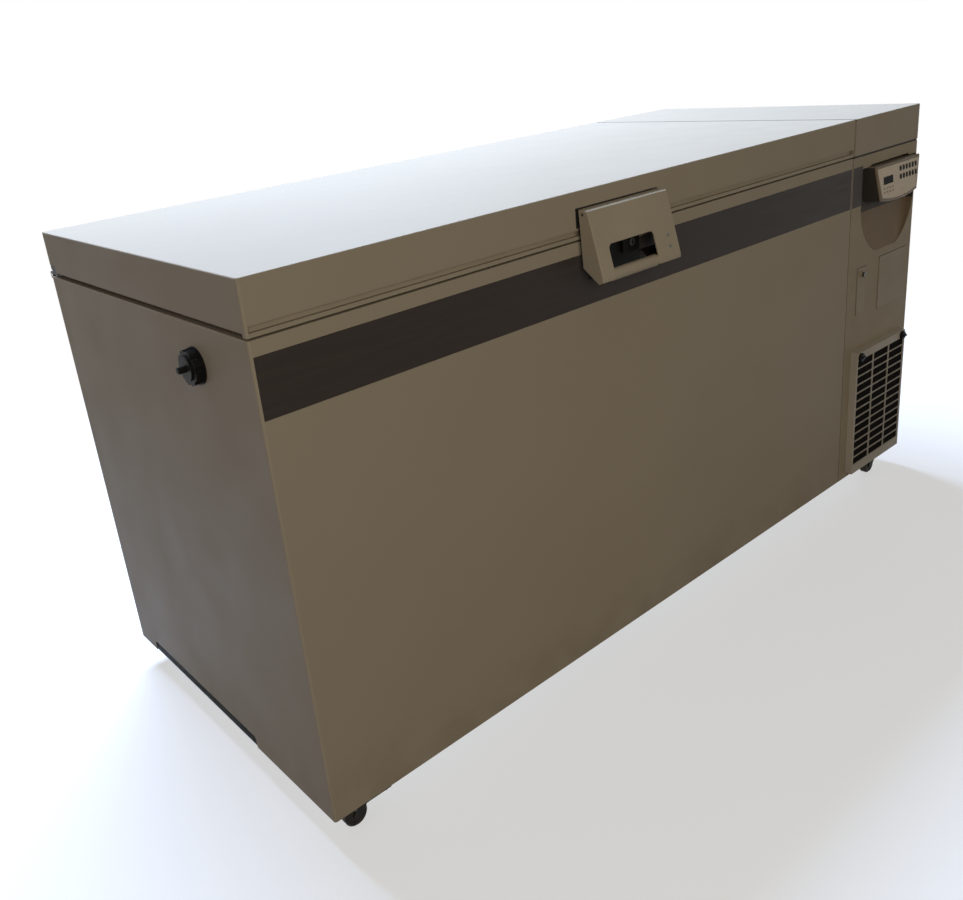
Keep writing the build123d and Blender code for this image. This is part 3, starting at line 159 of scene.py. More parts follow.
cabinet_paint = powder_coat("cabinet_powder_coat", cabinet_grey, cabinet_grey_worn, cabinet_floor_dust)
dress(cabinet_paint, "cabinet_wrap", "rear_panel", "right_side_panel")

# Bulkhead and fan shroud
# Galvanised steel sheet, folded and left bare inside the machine compartment.
# The zinc shows as large pale crystals with fine rolling marks.
zinc_light = (0.56, 0.58, 0.59)
zinc_dark = (0.40, 0.42, 0.44)
zinc_crystals = 110.0
rolling_marks = (8.0, 260.0, 260.0)


def galvanised(name, light, dark, roughness, shine=0.5):
    """Zinc-coated sheet: crystals a few millimetres wide, each with its own tone."""
    finish, tree, shader, place = new_finish(name, roughness, metallic=1.0, shine=shine)
    crystals = tree.nodes.new("ShaderNodeTexVoronoi")
    crystals.inputs["Scale"].default_value = zinc_crystals
    tree.links.new(place, crystals.inputs["Vector"])
    spangle = along(tree, crystals.outputs["Color"], "X")
    tree.links.new(tinted(tree, spangle, dark, light), shader.inputs["Base Color"])
    sheen = spread(tree, spangle, 0.0, 1.0, to_low=roughness - 0.08, to_high=roughness + 0.1)
    tree.links.new(sheen, shader.inputs["Roughness"])
    rolled = cloudy(tree, stretched(tree, place, rolling_marks), scale=4.0, detail=3.0)
    raised(tree, shader, rolled, strength=0.08, distance=0.0003)
    return finish


zinc = galvanised("zinc_coated_sheet", zinc_light, zinc_dark, 0.42)
dress(zinc, "bulkhead", "fan_shroud")

# Inner liner
# The chamber is a folded and welded steel box, enamelled white and foamed into the cabinet.
# A slight frost bloom clouds its walls.
liner_white = (0.72, 0.73, 0.72)
liner_bloom = (0.80, 0.83, 0.86)
liner_finish, tree, shader, place = new_finish("liner_enamel", 0.32)
frost = spread(tree, cloudy(tree, place, scale=16.0, detail=9.0), low=0.45, high=0.72)
tree.links.new(tinted(tree, frost, liner_white, liner_bloom), shader.inputs["Base Color"])
tree.links.new(spread(tree, frost, 0.0, 1.0, to_low=0.26, to_high=0.6), shader.inputs["Roughness"])
enamel_ripple = cloudy(tree, place, scale=300.0, detail=4.0)
raised(tree, shader, enamel_ripple, strength=0.1, distance=0.0005)
dress(liner_finish, "inner_liner")

# Breaker collar, lid plug and lid frame
# Moulded plastic that keeps the cold of the chamber from the outer steel, with a fine spark texture.
# The collar and the plug are white; the lid's frame is in the cabinet's colour, like the control box.
collar_white = (0.66, 0.66, 0.63)
collar_yellowed = (0.60, 0.58, 0.52)
frame_grey = (0.345, 0.315, 0.262)
frame_grey_dull = (0.27, 0.245, 0.20)
plastic_shine = 0.07
plastic_drift = 0.55


def moulded_plastic(name, colour, dull, roughness, grain=700.0, grain_depth=0.16, shine=plastic_shine):
    """Injection-moulded plastic with a spark-eroded texture and a slow drift of tone."""
    finish, tree, shader, place = new_finish(name, roughness, shine=shine)
    drift = spread(tree, cloudy(tree, place, scale=7.0, detail=5.0), low=0.3, high=0.75)
    tone = tinted(tree, times(tree, drift, plastic_drift), colour, dull)
    tree.links.new(tone, shader.inputs["Base Color"])
    handled = cloudy(tree, place, scale=22.0, detail=6.0)
    sheen = spread(tree, handled, 0.3, 0.72, to_low=roughness - 0.07, to_high=roughness + 0.08)
    tree.links.new(sheen, shader.inputs["Roughness"])
    spark_texture = cloudy(tree, place, scale=grain, detail=2.0)
    raised(tree, shader, spark_texture, strength=grain_depth, distance=0.0003)
    return finish


collar_plastic = moulded_plastic("collar_plastic", collar_white, collar_yellowed, 0.4)
dress(collar_plastic, "breaker_collar", "lid_liner")
frame_plastic = moulded_plastic("lid_frame_plastic", frame_grey, frame_grey_dull, 0.45)
dress(frame_plastic, "lid_frame", "control_box")

# Evaporator
# Copper tube wound round the liner before foaming, where the refrigerant boils.
# It is bright in places and stained brown in others.
copper_bright = (0.72, 0.38, 0.22)
copper_brown = (0.36, 0.17, 0.09)
copper_finish, tree, shader, place = new_finish("copper_tube", 0.35, metallic=1.0)
stain = spread(tree, cloudy(tree, place, scale=30.0, detail=6.0), low=0.35, high=0.75)
tree.links.new(tinted(tree, stain, copper_bright, copper_brown), shader.inputs["Base Color"])
tree.links.new(spread(tree, stain, 0.0, 1.0, to_low=0.28, to_high=0.55), shader.inputs["Roughness"])
dress(copper_finish, "evaporator_coil")

# Insulation
# Polyurethane foam poured between the liner and the outer sheets, and in the lid, where it sets.
# It is cream with open cells.
foam_cream = (0.74, 0.62, 0.37)
foam_shadow = (0.52, 0.40, 0.20)
foam_cells = 420.0
foam_finish, tree, shader, place = new_finish("poured_foam", 0.9)
cells = tree.nodes.new("ShaderNodeTexVoronoi")
cells.inputs["Scale"].default_value = foam_cells
tree.links.new(place, cells.inputs["Vector"])
pits = spread(tree, cells.outputs["Distance"], low=0.1, high=0.7)
tree.links.new(tinted(tree, pits, foam_shadow, foam_cream), shader.inputs["Base Color"])
raised(tree, shader, pits, strength=0.5, distance=0.0008)
dress(foam_finish, "cabinet_foam", "lid_foam")

# Stripe
# A satin plastic film laid on the front below the lid, almost black.
# It has a fine grain and faint wipe marks.
stripe_dark = (0.042, 0.036, 0.034)
stripe_wiped = (0.050, 0.043, 0.041)
wipe_marks = (2.0, 2.0, 26.0)
stripe_finish, tree, shader, place = new_finish("stripe_film", 0.5, shine=0.08)
wiped = cloudy(tree, stretched(tree, place, wipe_marks), scale=4.0, detail=5.0)
wipes = spread(tree, wiped, low=0.4, high=0.75)
tree.links.new(tinted(tree, wipes, stripe_dark, stripe_wiped), shader.inputs["Base Color"])
tree.links.new(spread(tree, wipes, 0.0, 1.0, to_low=0.44, to_high=0.58), shader.inputs["Roughness"])
film_grain = cloudy(tree, place, scale=900.0, detail=2.0)
raised(tree, shader, film_grain, strength=0.1, distance=0.0002)
dress(stripe_finish, "stripe")

# Lid skin and machine cover
# Two shallow pans of the same coated sheet. The lid lifts, the cover beside it is fixed.
# Both edges of the joint between them are painted dark as shade in the joint, on the top and more faintly
# down the front.
joint_painted_shade = (0.060, 0.054, 0.047)
joint_reach, joint_edge, joint_depth = 0.0040, 0.0006, 0.003
joint_front_share = 0.3


def reopened(finish):
    """A made finish again: its node tree, shader and Object coordinates, and the colour it has so far."""
    tree = finish.node_tree
    shader = tree.nodes["Principled BSDF"]
    place = next(node for node in tree.nodes if node.type == "TEX_COORD").outputs["Object"]
    return tree, shader, place, shader.inputs["Base Color"].links[0].from_socket


lid_low, lid_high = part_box("lid_skin")
cover_low, cover_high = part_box("machine_cover")
joint_left = (lid_high.x + cover_low.x) / 2 - joint_reach
joint_right = (lid_high.x + cover_low.x) / 2 + joint_reach
joint_top, joint_front = lid_high.z - joint_depth, lid_low.y + joint_depth
lid_paint = powder_coat("lid_powder_coat", cabinet_grey, cabinet_grey_worn, cabinet_floor_dust)
tree, shader, place, tone = reopened(lid_paint)
across = along(tree, place, "X")
by_joint = times(
    tree,
    spread(tree, across, joint_left - joint_edge, joint_left),
    spread(tree, across, joint_right, joint_right + joint_edge, to_low=1.0, to_high=0.0),
)
on_top = spread(tree, along(tree, place, "Z"), joint_top - joint_edge, joint_top)
on_front = spread(
    tree, along(tree, place, "Y"), joint_front, joint_front + joint_edge, to_low=1.0, to_high=0.0
)
# Painted shade: a dark band on both edges of the joint, full on the top and at 0.3 strength down the front.
tone = tinted(tree, times(tree, by_joint, on_top), tone, joint_painted_shade)
tone = tinted(tree, times(tree, times(tree, by_joint, on_front), joint_front_share), tone, joint_painted_shade)
tree.links.new(tone, shader.inputs["Base Color"])
dress(lid_paint, "lid_skin", "machine_cover")

# Lid seal
# A black rubber ring pressed into the lid's frame, dusty where it meets the collar.
# The compressors' feet are of the same rubber.
seal_black = (0.022, 0.022, 0.022)
seal_dusty = (0.065, 0.062, 0.057)
rubber_shine = 0.1


def rubber(name, black, dusty, roughness):
    """Black rubber, greyed by dust and bloom."""
    finish, tree, shader, place = new_finish(name, roughness, shine=rubber_shine)
    bloom = spread(tree, cloudy(tree, place, scale=45.0, detail=7.0), low=0.4, high=0.75)
    tree.links.new(tinted(tree, bloom, black, dusty), shader.inputs["Base Color"])
    sheen = spread(tree, bloom, 0.0, 1.0, to_low=roughness - 0.08, to_high=roughness + 0.1)
    tree.links.new(sheen, shader.inputs["Roughness"])
    rubber_grain = cloudy(tree, place, scale=520.0, detail=3.0)
    raised(tree, shader, rubber_grain, strength=0.2, distance=0.0003)
    return finish


seal_rubber = rubber("seal_rubber", seal_black, seal_dusty, 0.62)
dress(seal_rubber, "lid_gasket", "compressor_grommets")

# Cover seal
# A strip of black foam rubber under the fixed cover's edge, which fills the gap above the cabinet.
# It is cut from flat stock and stuck on.
seal_inset, seal_width, seal_height, seal_sink = 0.0022, 0.005, 0.0040, 0.0004
seal_bevel = 0.0006
bpy.ops.object.select_all(action="DESELECT")
bpy.ops.mesh.primitive_plane_add(
    size=1.0,
    location=((cover_low.x + cover_high.x) / 2, (cover_low.y + cover_high.y) / 2, cover_low.z - seal_sink),
)
cover_seal = bpy.context.object
cover_seal.name = "cover_seal"
cover_seal.scale = (
    cover_high.x - cover_low.x - 2 * seal_inset,
    cover_high.y - cover_low.y - 2 * seal_inset,
    1.0,
)
bpy.ops.object.transform_apply(location=True, scale=True)
bpy.ops.object.mode_set(mode="EDIT")
bpy.context.tool_settings.mesh_select_mode = (False, False, True)
bpy.ops.mesh.select_all(action="SELECT")
bpy.ops.mesh.inset(thickness=seal_width)
bpy.ops.mesh.delete(type="FACE")
bpy.ops.mesh.select_all(action="SELECT")
bpy.ops.mesh.extrude_region_move(TRANSFORM_OT_translate={"value": (0, 0, seal_height + seal_sink)})
bpy.ops.mesh.select_all(action="SELECT")
bpy.ops.mesh.normals_make_consistent(inside=False)
bpy.ops.mesh.bevel(offset=seal_bevel, segments=2, affect="EDGES")
bpy.ops.object.mode_set(mode="OBJECT")
cover_seal.data.materials.append(seal_rubber)
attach(cover_seal, "cabinet")

# Lid hinges
# Three hinges of rolled steel leaves painted black, on bright steel pins, screwed to the cabinet and lid.
# The lever's bracket has the same black paint, which also stands in for the shade in the gap behind the
# lever.
hinge_black = (0.018, 0.018, 0.018)
hinge_rubbed = (0.06, 0.058, 0.055)
steel_light = (0.70, 0.69, 0.66)
steel_dark = (0.48, 0.47, 0.45)
paint_shine = 0.12
tool_marks = (30.0, 400.0, 400.0)


def black_paint(name, black, rubbed, roughness):
    """Black paint on steel, rubbed thin in places."""
    finish, tree, shader, place = new_finish(name, roughness, shine=paint_shine)
    rub = spread(tree, cloudy(tree, place, scale=60.0, detail=7.0), low=0.5, high=0.8)
    tree.links.new(tinted(tree, rub, black, rubbed), shader.inputs["Base Color"])
    sheen = spread(tree, rub, 0.0, 1.0, to_low=roughness, to_high=roughness - 0.12)
    tree.links.new(sheen, shader.inputs["Roughness"])
    brush_grain = cloudy(tree, place, scale=360.0, detail=3.0)
    raised(tree, shader, brush_grain, strength=0.15, distance=0.0004)
    return finish


def turned_steel(name, light, dark, roughness):
    """Bright steel with fine tool marks."""
    finish, tree, shader, place = new_finish(name, roughness, metallic=1.0)
    marks = cloudy(tree, stretched(tree, place, tool_marks), scale=3.0, detail=4.0)
    tree.links.new(tinted(tree, marks, dark, light), shader.inputs["Base Color"])
    sheen = spread(tree, marks, 0.3, 0.7, to_low=roughness - 0.06, to_high=roughness + 0.08)
    tree.links.new(sheen, shader.inputs["Roughness"])
    raised(tree, shader, marks, strength=0.06, distance=0.0002)
    return finish


hinge_paint = black_paint("hinge_black_paint", hinge_black, hinge_rubbed, 0.45)
bright_steel = turned_steel("bright_steel", steel_light, steel_dark, 0.26)
# Painted shade: the bracket's black partly stands in for the shaded gap behind the lever.
dress(hinge_paint, "hinge_cabinet_leaves", "hinge_lid_leaves", "handle_bracket")
dress(bright_steel, "hinge_pins")

# Screws
# Button-head steel screws with a round socket, black on the hinge leaves and plated on the back panel.
# One is modelled and copied: four to each hinge leaf, and a row round the panel's edge.
screw_radius, screw_height = 0.0052, 0.0024
screw_sides = 24
smooth_angle = 0.6
hinge_half_width, leaf_stand_off = 0.048, 0.0039
hinge_screw_spread = 0.032
hinge_screw_heights = {"cabinet": (0.930, 0.958), "lid": (1.010, 1.030)}
panel_screw_inset, panel_screw_sink = 0.014, 0.0001
panel_screws_from_top = 0.12
panel_screws_across, panel_screws_up = 9, 4


def pick_faces(piece, wanted):
    """Selects the faces that a test accepts, and opens the piece for editing."""
    bpy.context.tool_settings.mesh_select_mode = (False, False, True)
    for part in (piece.data.vertices, piece.data.edges):
        part.foreach_set("select", [False] * len(part))
    for face in piece.data.polygons:
        face.select = wanted(face)
    bpy.ops.object.mode_set(mode="EDIT")


def button_head(radius, height):
    """A screw's head on the origin, facing up: a domed button with a socket."""
    dome, socket_rim, socket_depth = height * 0.7, radius * 0.22, height * 0.6
    bpy.ops.object.select_all(action="DESELECT")
    bpy.ops.mesh.primitive_cylinder_add(
        vertices=screw_sides, radius=radius, depth=height, location=(0, 0, height / 2)
    )
    head = bpy.context.object
    bpy.ops.object.transform_apply(location=True)
    pick_faces(head, lambda face: face.normal.z > 0.9)
    bpy.ops.mesh.bevel(offset=dome, segments=3, affect="EDGES")
    bpy.ops.object.mode_set(mode="OBJECT")
    pick_faces(head, lambda face: face.normal.z > 0.99)
    bpy.ops.mesh.inset(thickness=socket_rim)
    bpy.ops.mesh.extrude_region_move(TRANSFORM_OT_translate={"value": (0, 0, -socket_depth)})
    bpy.ops.object.mode_set(mode="OBJECT")
    bpy.ops.object.shade_smooth_by_angle(angle=smooth_angle)
    return head


def set_out(name, model, places, body, finish):
    """Copies of a modelled piece at each placing matrix, joined as one piece that rides on a body."""
    pattern = model.data
    bpy.ops.object.select_all(action="DESELECT")
    for number, placing in enumerate(places):
        mesh = pattern.copy()
        mesh.transform(placing)
        if number == 0:
            model.data = mesh
            copy = model
        else:
            copy = bpy.data.objects.new(f"{name}_{number}", mesh)
            bpy.context.collection.objects.link(copy)
        copy.select_set(True)
    bpy.context.view_layer.objects.active = model
    bpy.ops.object.join()
    model.name = name
    model.data.materials.clear()
    model.data.materials.append(finish)
    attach(model, body)


def facing(direction, place):
    """The placing of a piece that stands on a place and faces a direction."""
    return Matrix.Translation(place) @ Vector(direction).to_track_quat("Z", "Y").to_matrix().to_4x4()


panel_low, panel_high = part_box("rear_panel")
leaf_face = panel_high.y + leaf_stand_off
for leaves, body in (("hinge_cabinet_leaves", "cabinet"), ("hinge_lid_leaves", "lid")):
    leaf_low, leaf_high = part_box(leaves)
    hinge_ends = (leaf_low.x + hinge_half_width, leaf_high.x - hinge_half_width)
    hinge_middles = (hinge_ends[0], sum(hinge_ends) / 2, hinge_ends[1])
    set_out(
        "hinge_screws_" + body,
        button_head(screw_radius, screw_height),
        [
            facing((0, 1, 0), (middle + side * hinge_screw_spread, leaf_face, z))
            for middle in hinge_middles
            for side in (-1, 1)
            for z in hinge_screw_heights[body]
        ],
        body,
        black_paint("hinge_screw_black_" + body, hinge_black, hinge_rubbed, 0.4),
    )
panel_left, panel_right = panel_low.x + panel_screw_inset, panel_high.x - panel_screw_inset
panel_foot, panel_head = panel_low.z + panel_screw_inset, panel_high.z - panel_screws_from_top
panel_places = [
    (panel_left + i * (panel_right - panel_left) / (panel_screws_across - 1), panel_foot)
    for i in range(panel_screws_across)
]
panel_places += [
    (x, panel_foot + i * (panel_head - panel_foot) / panel_screws_up)
    for x in (panel_left, panel_right)
    for i in range(1, panel_screws_up + 1)
]
set_out(
    "rear_panel_screws",
    button_head(screw_radius, screw_height),
    [facing((0, 1, 0), (x, panel_high.y - panel_screw_sink, z)) for x, z in panel_places],
    "cabinet",
    bright_steel,
)

# Lever handle
# A wedge-shaped moulding in the cabinet's colour, on a steel pin at its head, with a round grip across its
# cut-out and two dull screws in its face. Its hollow is painted near black as shade.
lever_grey = (0.365, 0.333, 0.275)
lever_grey_handled = (0.31, 0.28, 0.225)
lever_hollow_painted_shade = (0.009, 0.008, 0.008)
dark_steel_light = (0.13, 0.125, 0.115)
dark_steel_dark = (0.055, 0.052, 0.048)
lever_wall, lever_roof, lever_floor = 0.0036, 0.0027, 0.0015
brow_back, brow_drop, chin_back = 0.033, 0.002, 0.013
face_lean, under_lean = 0.262, 0.75
mask_edge = 0.0001
lever_texture = {"grain": 500.0, "grain_depth": 0.08}


def beyond(tree, place, normal, point, past=0.0):
    """1 on the side of a plane that its normal points to, from a distance past the plane."""
    dot = tree.nodes.new("ShaderNodeVectorMath")
    dot.operation = "DOT_PRODUCT"
    dot.inputs[1].default_value = normal
    tree.links.new(place, dot.inputs[0])
    level = Vector(normal).dot(Vector(point)) + past
    return spread(tree, dot.outputs["Value"], level - mask_edge, level + mask_edge)


lever_plastic = moulded_plastic("lever_paint", lever_grey, lever_grey_handled, 0.36, **lever_texture)
dress(lever_plastic, "handle_grip")
lever_low, lever_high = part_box("handle_lever")
brow = (0.0, lever_low.y + brow_back, lever_high.z - brow_drop)
chin = (0.0, lever_low.y + chin_back, lever_low.z)
lever_finish = moulded_plastic("lever_shell", lever_grey, lever_grey_handled, 0.36, **lever_texture)
tree, shader, place, outside = reopened(lever_finish)
hollow = beyond(tree, place, (1.0, 0.0, 0.0), lever_low, lever_wall)
for normal, point, past in (
    ((-1.0, 0.0, 0.0), lever_high, lever_wall),
    ((0.0, 0.0, -1.0), lever_high, lever_roof),
    ((0.0, 1.0, -face_lean), brow, lever_wall),
    ((0.0, -under_lean, 1.0), chin, lever_floor),
):
    hollow = times(tree, hollow, beyond(tree, place, normal, point, past))
# Painted shade: the inside of the lever's hollow is near black.
tree.links.new(tinted(tree, hollow, outside, lever_hollow_painted_shade), shader.inputs["Base Color"])
dress(lever_finish, "handle_lever")
dark_steel = turned_steel("dark_steel", dark_steel_light, dark_steel_dark, 0.4)
dress(dark_steel, "handle_pin", "handle_screws")

# Lid lock
# A moulded black block screwed to the cabinet behind the lever's cut-out.
# A dark steel key barrel turns in it.
lock_black = (0.007, 0.007, 0.007)
lock_grey = (0.016, 0.016, 0.016)
black_plastic = moulded_plastic(
    "black_plastic", lock_black, lock_grey, 0.42, grain=800.0, grain_depth=0.1, shine=0.06
)
dress(black_plastic, "lock_block")
dress(dark_steel, "lock_barrel")

# Fascia and its plates
# A moulded front in the cabinet's colour, with a scoop that takes up the stripe's dark band round the
# controls. In the scoop the band is carried lower than the stripe as painted shade under the pod, and the
# scoop's inside below it is painted darker as shade. A key plate with its barrel and a square blank cover
# are clipped into it.
fascia_grey = (0.325, 0.290, 0.230)
fascia_grey_dull = (0.25, 0.222, 0.176)
plate_grey = (0.300, 0.262, 0.205)
plate_grey_dull = (0.238, 0.204, 0.155)
scoop_band_and_shade = (0.058, 0.052, 0.047)
scoop_shade = (0.198, 0.155, 0.113)
band_and_shade_low, band_edge = 0.828, 0.001
scoop_back, scoop_edge = 0.0006, 0.006
fascia_finish, tree, shader, place = new_finish("fascia_plastic", 0.44, shine=coat_shine)
drift = spread(tree, cloudy(tree, place, scale=7.0, detail=5.0), low=0.3, high=0.75)
tone = tinted(tree, times(tree, drift, plastic_drift), fascia_grey, fascia_grey_dull)
fascia_low, fascia_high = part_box("fascia")
front_y = fascia_low.y
in_scoop = times(
    tree,
    spread(tree, along(tree, place, "Y"), front_y + scoop_back, front_y + 2 * scoop_back),
    beyond(tree, place, (-1.0, 0.0, 0.0), fascia_high, scoop_edge),
)
over_band_and_shade = spread(tree, along(tree, place, "Z"), band_and_shade_low - band_edge, band_and_shade_low + band_edge)
# Painted shade: the scoop's inside is darker, and its dark band reaches lower than the stripe.
tone = tinted(tree, in_scoop, tone, scoop_shade)
tone = tinted(tree, times(tree, in_scoop, over_band_and_shade), tone, scoop_band_and_shade)
tree.links.new(tone, shader.inputs["Base Color"])
handled = cloudy(tree, place, scale=22.0, detail=6.0)
tree.links.new(spread(tree, handled, 0.3, 0.72, to_low=0.38, to_high=0.52), shader.inputs["Roughness"])
spark_texture = cloudy(tree, place, scale=700.0, detail=2.0)
raised(tree, shader, spark_texture, strength=0.16, distance=0.0003)
dress(fascia_finish, "fascia")
plate_plastic = moulded_plastic("plate_plastic", plate_grey, plate_grey_dull, 0.42)
dress(plate_plastic, "key_plate", "blank_cover")
dress(dark_steel, "key_barrel")

# Control pod
# A tapered moulding set into the scoop, whose face leans back. Its rim's grey is darkened part way as
# painted shade, and behind the rim the pod takes the scoop's dark band colour, partly as painted shade
# beside and under it.
# Its face is a light printed film over flat dark pads, with a dark display window.
pod_grey_partly_shaded = (0.215, 0.18, 0.142)
pod_grey_dull_partly_shaded = (0.18, 0.148, 0.115)
face_light = (0.62, 0.57, 0.50)
face_worn = (0.54, 0.49, 0.42)
pad_dark = (0.008, 0.008, 0.010)
pad_rubbed = (0.016, 0.016, 0.018)
display_dark = (0.003, 0.004, 0.004)
display_grey = (0.007, 0.009, 0.008)
pod_lean, pod_proud, pod_groove = 0.0873, 0.016, 0.0035
pod_rim, pod_roof_skin = 0.005, 0.0006
pod_plastic = moulded_plastic("pod_plastic", pod_grey_partly_shaded, pod_grey_dull_partly_shaded, 0.4)
tree, shader, place, rim = reopened(pod_plastic)
face_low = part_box("control_face")[0]
face_foot = (0.0, face_low.y, face_low.z)
pod_roof = (0.0, front_y - pod_proud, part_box("control_pod")[1].z)
behind_rim = beyond(tree, place, (0.0, 1.0, -pod_lean), face_foot, pod_rim)
behind_groove = beyond(tree, place, (0.0, 1.0, 0.0), pod_roof, pod_groove)
on_roof = beyond(tree, place, (0.0, pod_lean, 1.0), pod_roof, -pod_roof_skin)
# Painted shade: behind its rim the pod takes the scoop's dark band and shade colour.
shell = tinted(tree, behind_rim, rim, scoop_band_and_shade)
roof_tone = tinted(tree, behind_groove, scoop_band_and_shade, fascia_grey)
tree.links.new(tinted(tree, on_roof, shell, roof_tone), shader.inputs["Base Color"])
dress(pod_plastic, "control_pod")
face_film = moulded_plastic("face_film", face_light, face_worn, 0.3, grain=1100.0, grain_depth=0.05)
dress(face_film, "control_face")
pad_film = moulded_plastic(
    "pad_film", pad_dark, pad_rubbed, 0.5, grain=1100.0, grain_depth=0.06, shine=0.05
)
dress(pad_film, "keypad_pads")
display_finish, tree, shader, place = new_finish("display_glass", 0.3, shine=0.02)
smears = spread(tree, cloudy(tree, place, scale=60.0, detail=5.0), low=0.35, high=0.7)
tree.links.new(tinted(tree, smears, display_dark, display_grey), shader.inputs["Base Color"])
tree.links.new(spread(tree, smears, 0.0, 1.0, to_low=0.24, to_high=0.4), shader.inputs["Roughness"])
dress(display_finish, "display_window")

# Soft keys
# Two rows of four small raised keys under the display, pressed into the printed film.
# One is modelled and copied down the leaning face.
key_grey = (0.36, 0.32, 0.27)
key_grey_rubbed = (0.28, 0.245, 0.20)
key_width, key_height, key_rise = 0.0075, 0.005, 0.0008
key_bevel, key_stand_off = key_rise * 0.7, key_rise * 0.3
key_drops = (0.0105, 0.0205)
keys_in_row = 4
display_low, display_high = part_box("display_window")
key_pitch = (display_high.x - display_low.x - key_width) / (keys_in_row - 1)
bpy.ops.object.select_all(action="DESELECT")
bpy.ops.mesh.primitive_cube_add(size=1.0, scale=(key_width, 2 * key_rise, key_height))
soft_key = bpy.context.object
bpy.ops.object.transform_apply(scale=True)
pick_faces(soft_key, lambda face: True)
bpy.ops.mesh.bevel(offset=key_bevel, segments=3, affect="EDGES")
bpy.ops.object.mode_set(mode="OBJECT")
bpy.ops.object.shade_smooth_by_angle(angle=smooth_angle)
key_places = [
    (
        display_low.x + key_width / 2 + i * key_pitch,
        display_low.y - key_stand_off - drop * pod_lean,
        display_low.z - drop,
    )
    for drop in key_drops
    for i in range(keys_in_row)
]
set_out(
    "soft_keys",
    soft_key,
    [Matrix.Translation(place) @ Matrix.Rotation(-pod_lean, 4, "X") for place in key_places],
    "cabinet",
    moulded_plastic("soft_key_film", key_grey, key_grey_rubbed, 0.45, grain=900.0, grain_depth=0.08),
)

# Intake grille
# A moulded frame with rows of openings over a dark foam filter, held by two quarter-turn knobs.
# The heat exchanger is wrapped in the same foam.
grille_grey = (0.43, 0.405, 0.37)
grille_dust = (0.31, 0.29, 0.26)
filter_black = (0.003, 0.003, 0.003)
filter_lint = (0.014, 0.013, 0.012)
filter_pores = 520.0
grille_plastic = moulded_plastic("grille_plastic", grille_grey, grille_dust, 0.46)
dress(grille_plastic, "grille")
dress(black_plastic, "grille_knob_left", "grille_knob_right")
filter_finish, tree, shader, place = new_finish("filter_foam", 0.95, shine=0.02)
pores = tree.nodes.new("ShaderNodeTexVoronoi")
pores.inputs["Scale"].default_value = filter_pores
tree.links.new(place, pores.inputs["Vector"])
holes = spread(tree, pores.outputs["Distance"], low=0.15, high=0.7)
tree.links.new(tinted(tree, holes, filter_black, filter_lint), shader.inputs["Base Color"])
raised(tree, shader, holes, strength=0.8, distance=0.001)
dress(filter_finish, "air_filter", "heat_exchanger")

# Refrigerating machine
# Two pressed and welded compressor pots, the fan's motor and an oil separator, all painted black.
# The condenser's fins and the fan are bare aluminium.
fin_light = (0.62, 0.64, 0.65)
fin_dark = (0.42, 0.44, 0.45)
fin_metal = turned_steel("fin_aluminium", fin_light, fin_dark, 0.38)
machine_paint = black_paint("machine_black_paint", hinge_black, hinge_rubbed, 0.38)
dress(fin_metal, "condenser", "fan")
dress(machine_paint, "compressor_first_stage", "compressor_second_stage", "fan_motor", "oil_separator")

# Power inlet and port
# Black moulded fittings: the mains inlet pushed into the back panel, and a stepped port with a sprung pin
# screwed into the left side.
dress(black_plastic, "power_inlet", "port_body", "port_pin")

# Casters and base pan
# Black painted plates and forks with black tyred wheels that swivel freely, bolted under a zinc-coated pan.
# The pan's edge behind the side notch is painted black as shade, for the dark space under the freezer seen
# through the notch.
tyre_black = (0.016, 0.016, 0.016)
tyre_scuffed = (0.07, 0.066, 0.06)
pocket_floor, pocket_reach = 0.0025, 0.06
caster_paint = black_paint("caster_black_paint", hinge_black, hinge_rubbed, 0.5)
dress(caster_paint, "caster_plates")
pan_finish = galvanised("base_pan_zinc", zinc_light, zinc_dark, 0.46, shine=0.02)
tree, shader, place, zinc_tone = reopened(pan_finish)
pan_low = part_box("base_pan")[0]
# Painted shade: black, and not metallic, in the pocket behind the notch.
pocket_shade = times(
    tree,
    beyond(tree, place, (0.0, 0.0, 1.0), pan_low, pocket_floor),
    beyond(tree, place, (-1.0, 0.0, 0.0), pan_low, -pocket_reach),
)
tree.links.new(tinted(tree, pocket_shade, zinc_tone, hinge_black), shader.inputs["Base Color"])
tree.links.new(spread(tree, pocket_shade, 0.0, 1.0, to_low=1.0, to_high=0.0), shader.inputs["Metallic"])
dress(pan_finish, "base_pan")
tyre_rubber = rubber("tyre_rubber", tyre_black, tyre_scuffed, 0.5)
for corner in ("front_left", "front_right", "rear_left", "rear_right"):
    dress(tyre_rubber, "caster_wheel_" + corner)
    dress(caster_paint, "caster_fork_" + corner)

# Caster bolts
# Dull steel hexagon bolts on washers, four to each caster's plate.
# One bolt with its washer is modelled and copied.
dull_steel_light = (0.34, 0.33, 0.31)
dull_steel_dark = (0.15, 0.145, 0.135)
bolt_radius, bolt_height, bolt_chamfer = 0.0062, 0.0044, 0.2
washer_radius, washer_height, washer_chamfer = 0.009, 0.0014, 0.3
washer_sides = 28
plate_half_length, plate_half_width, plate_stand_off = 0.045, 0.038, 0.0039
bolt_from_edge = 0.0095


def chamfered_disc(sides, radius, height, foot, chamfer):
    """A short prism on the axis from a foot height up, with its top edge cut by a share of its height."""
    bpy.ops.object.select_all(action="DESELECT")
    bpy.ops.mesh.primitive_cylinder_add(
        vertices=sides, radius=radius, depth=height, location=(0, 0, foot + height / 2)
    )
    disc = bpy.context.object
    bpy.ops.object.transform_apply(location=True)
    pick_faces(disc, lambda face: face.normal.z > 0.9)
    bpy.ops.mesh.bevel(offset=height * chamfer, segments=2, affect="EDGES")
    bpy.ops.object.mode_set(mode="OBJECT")
    return disc


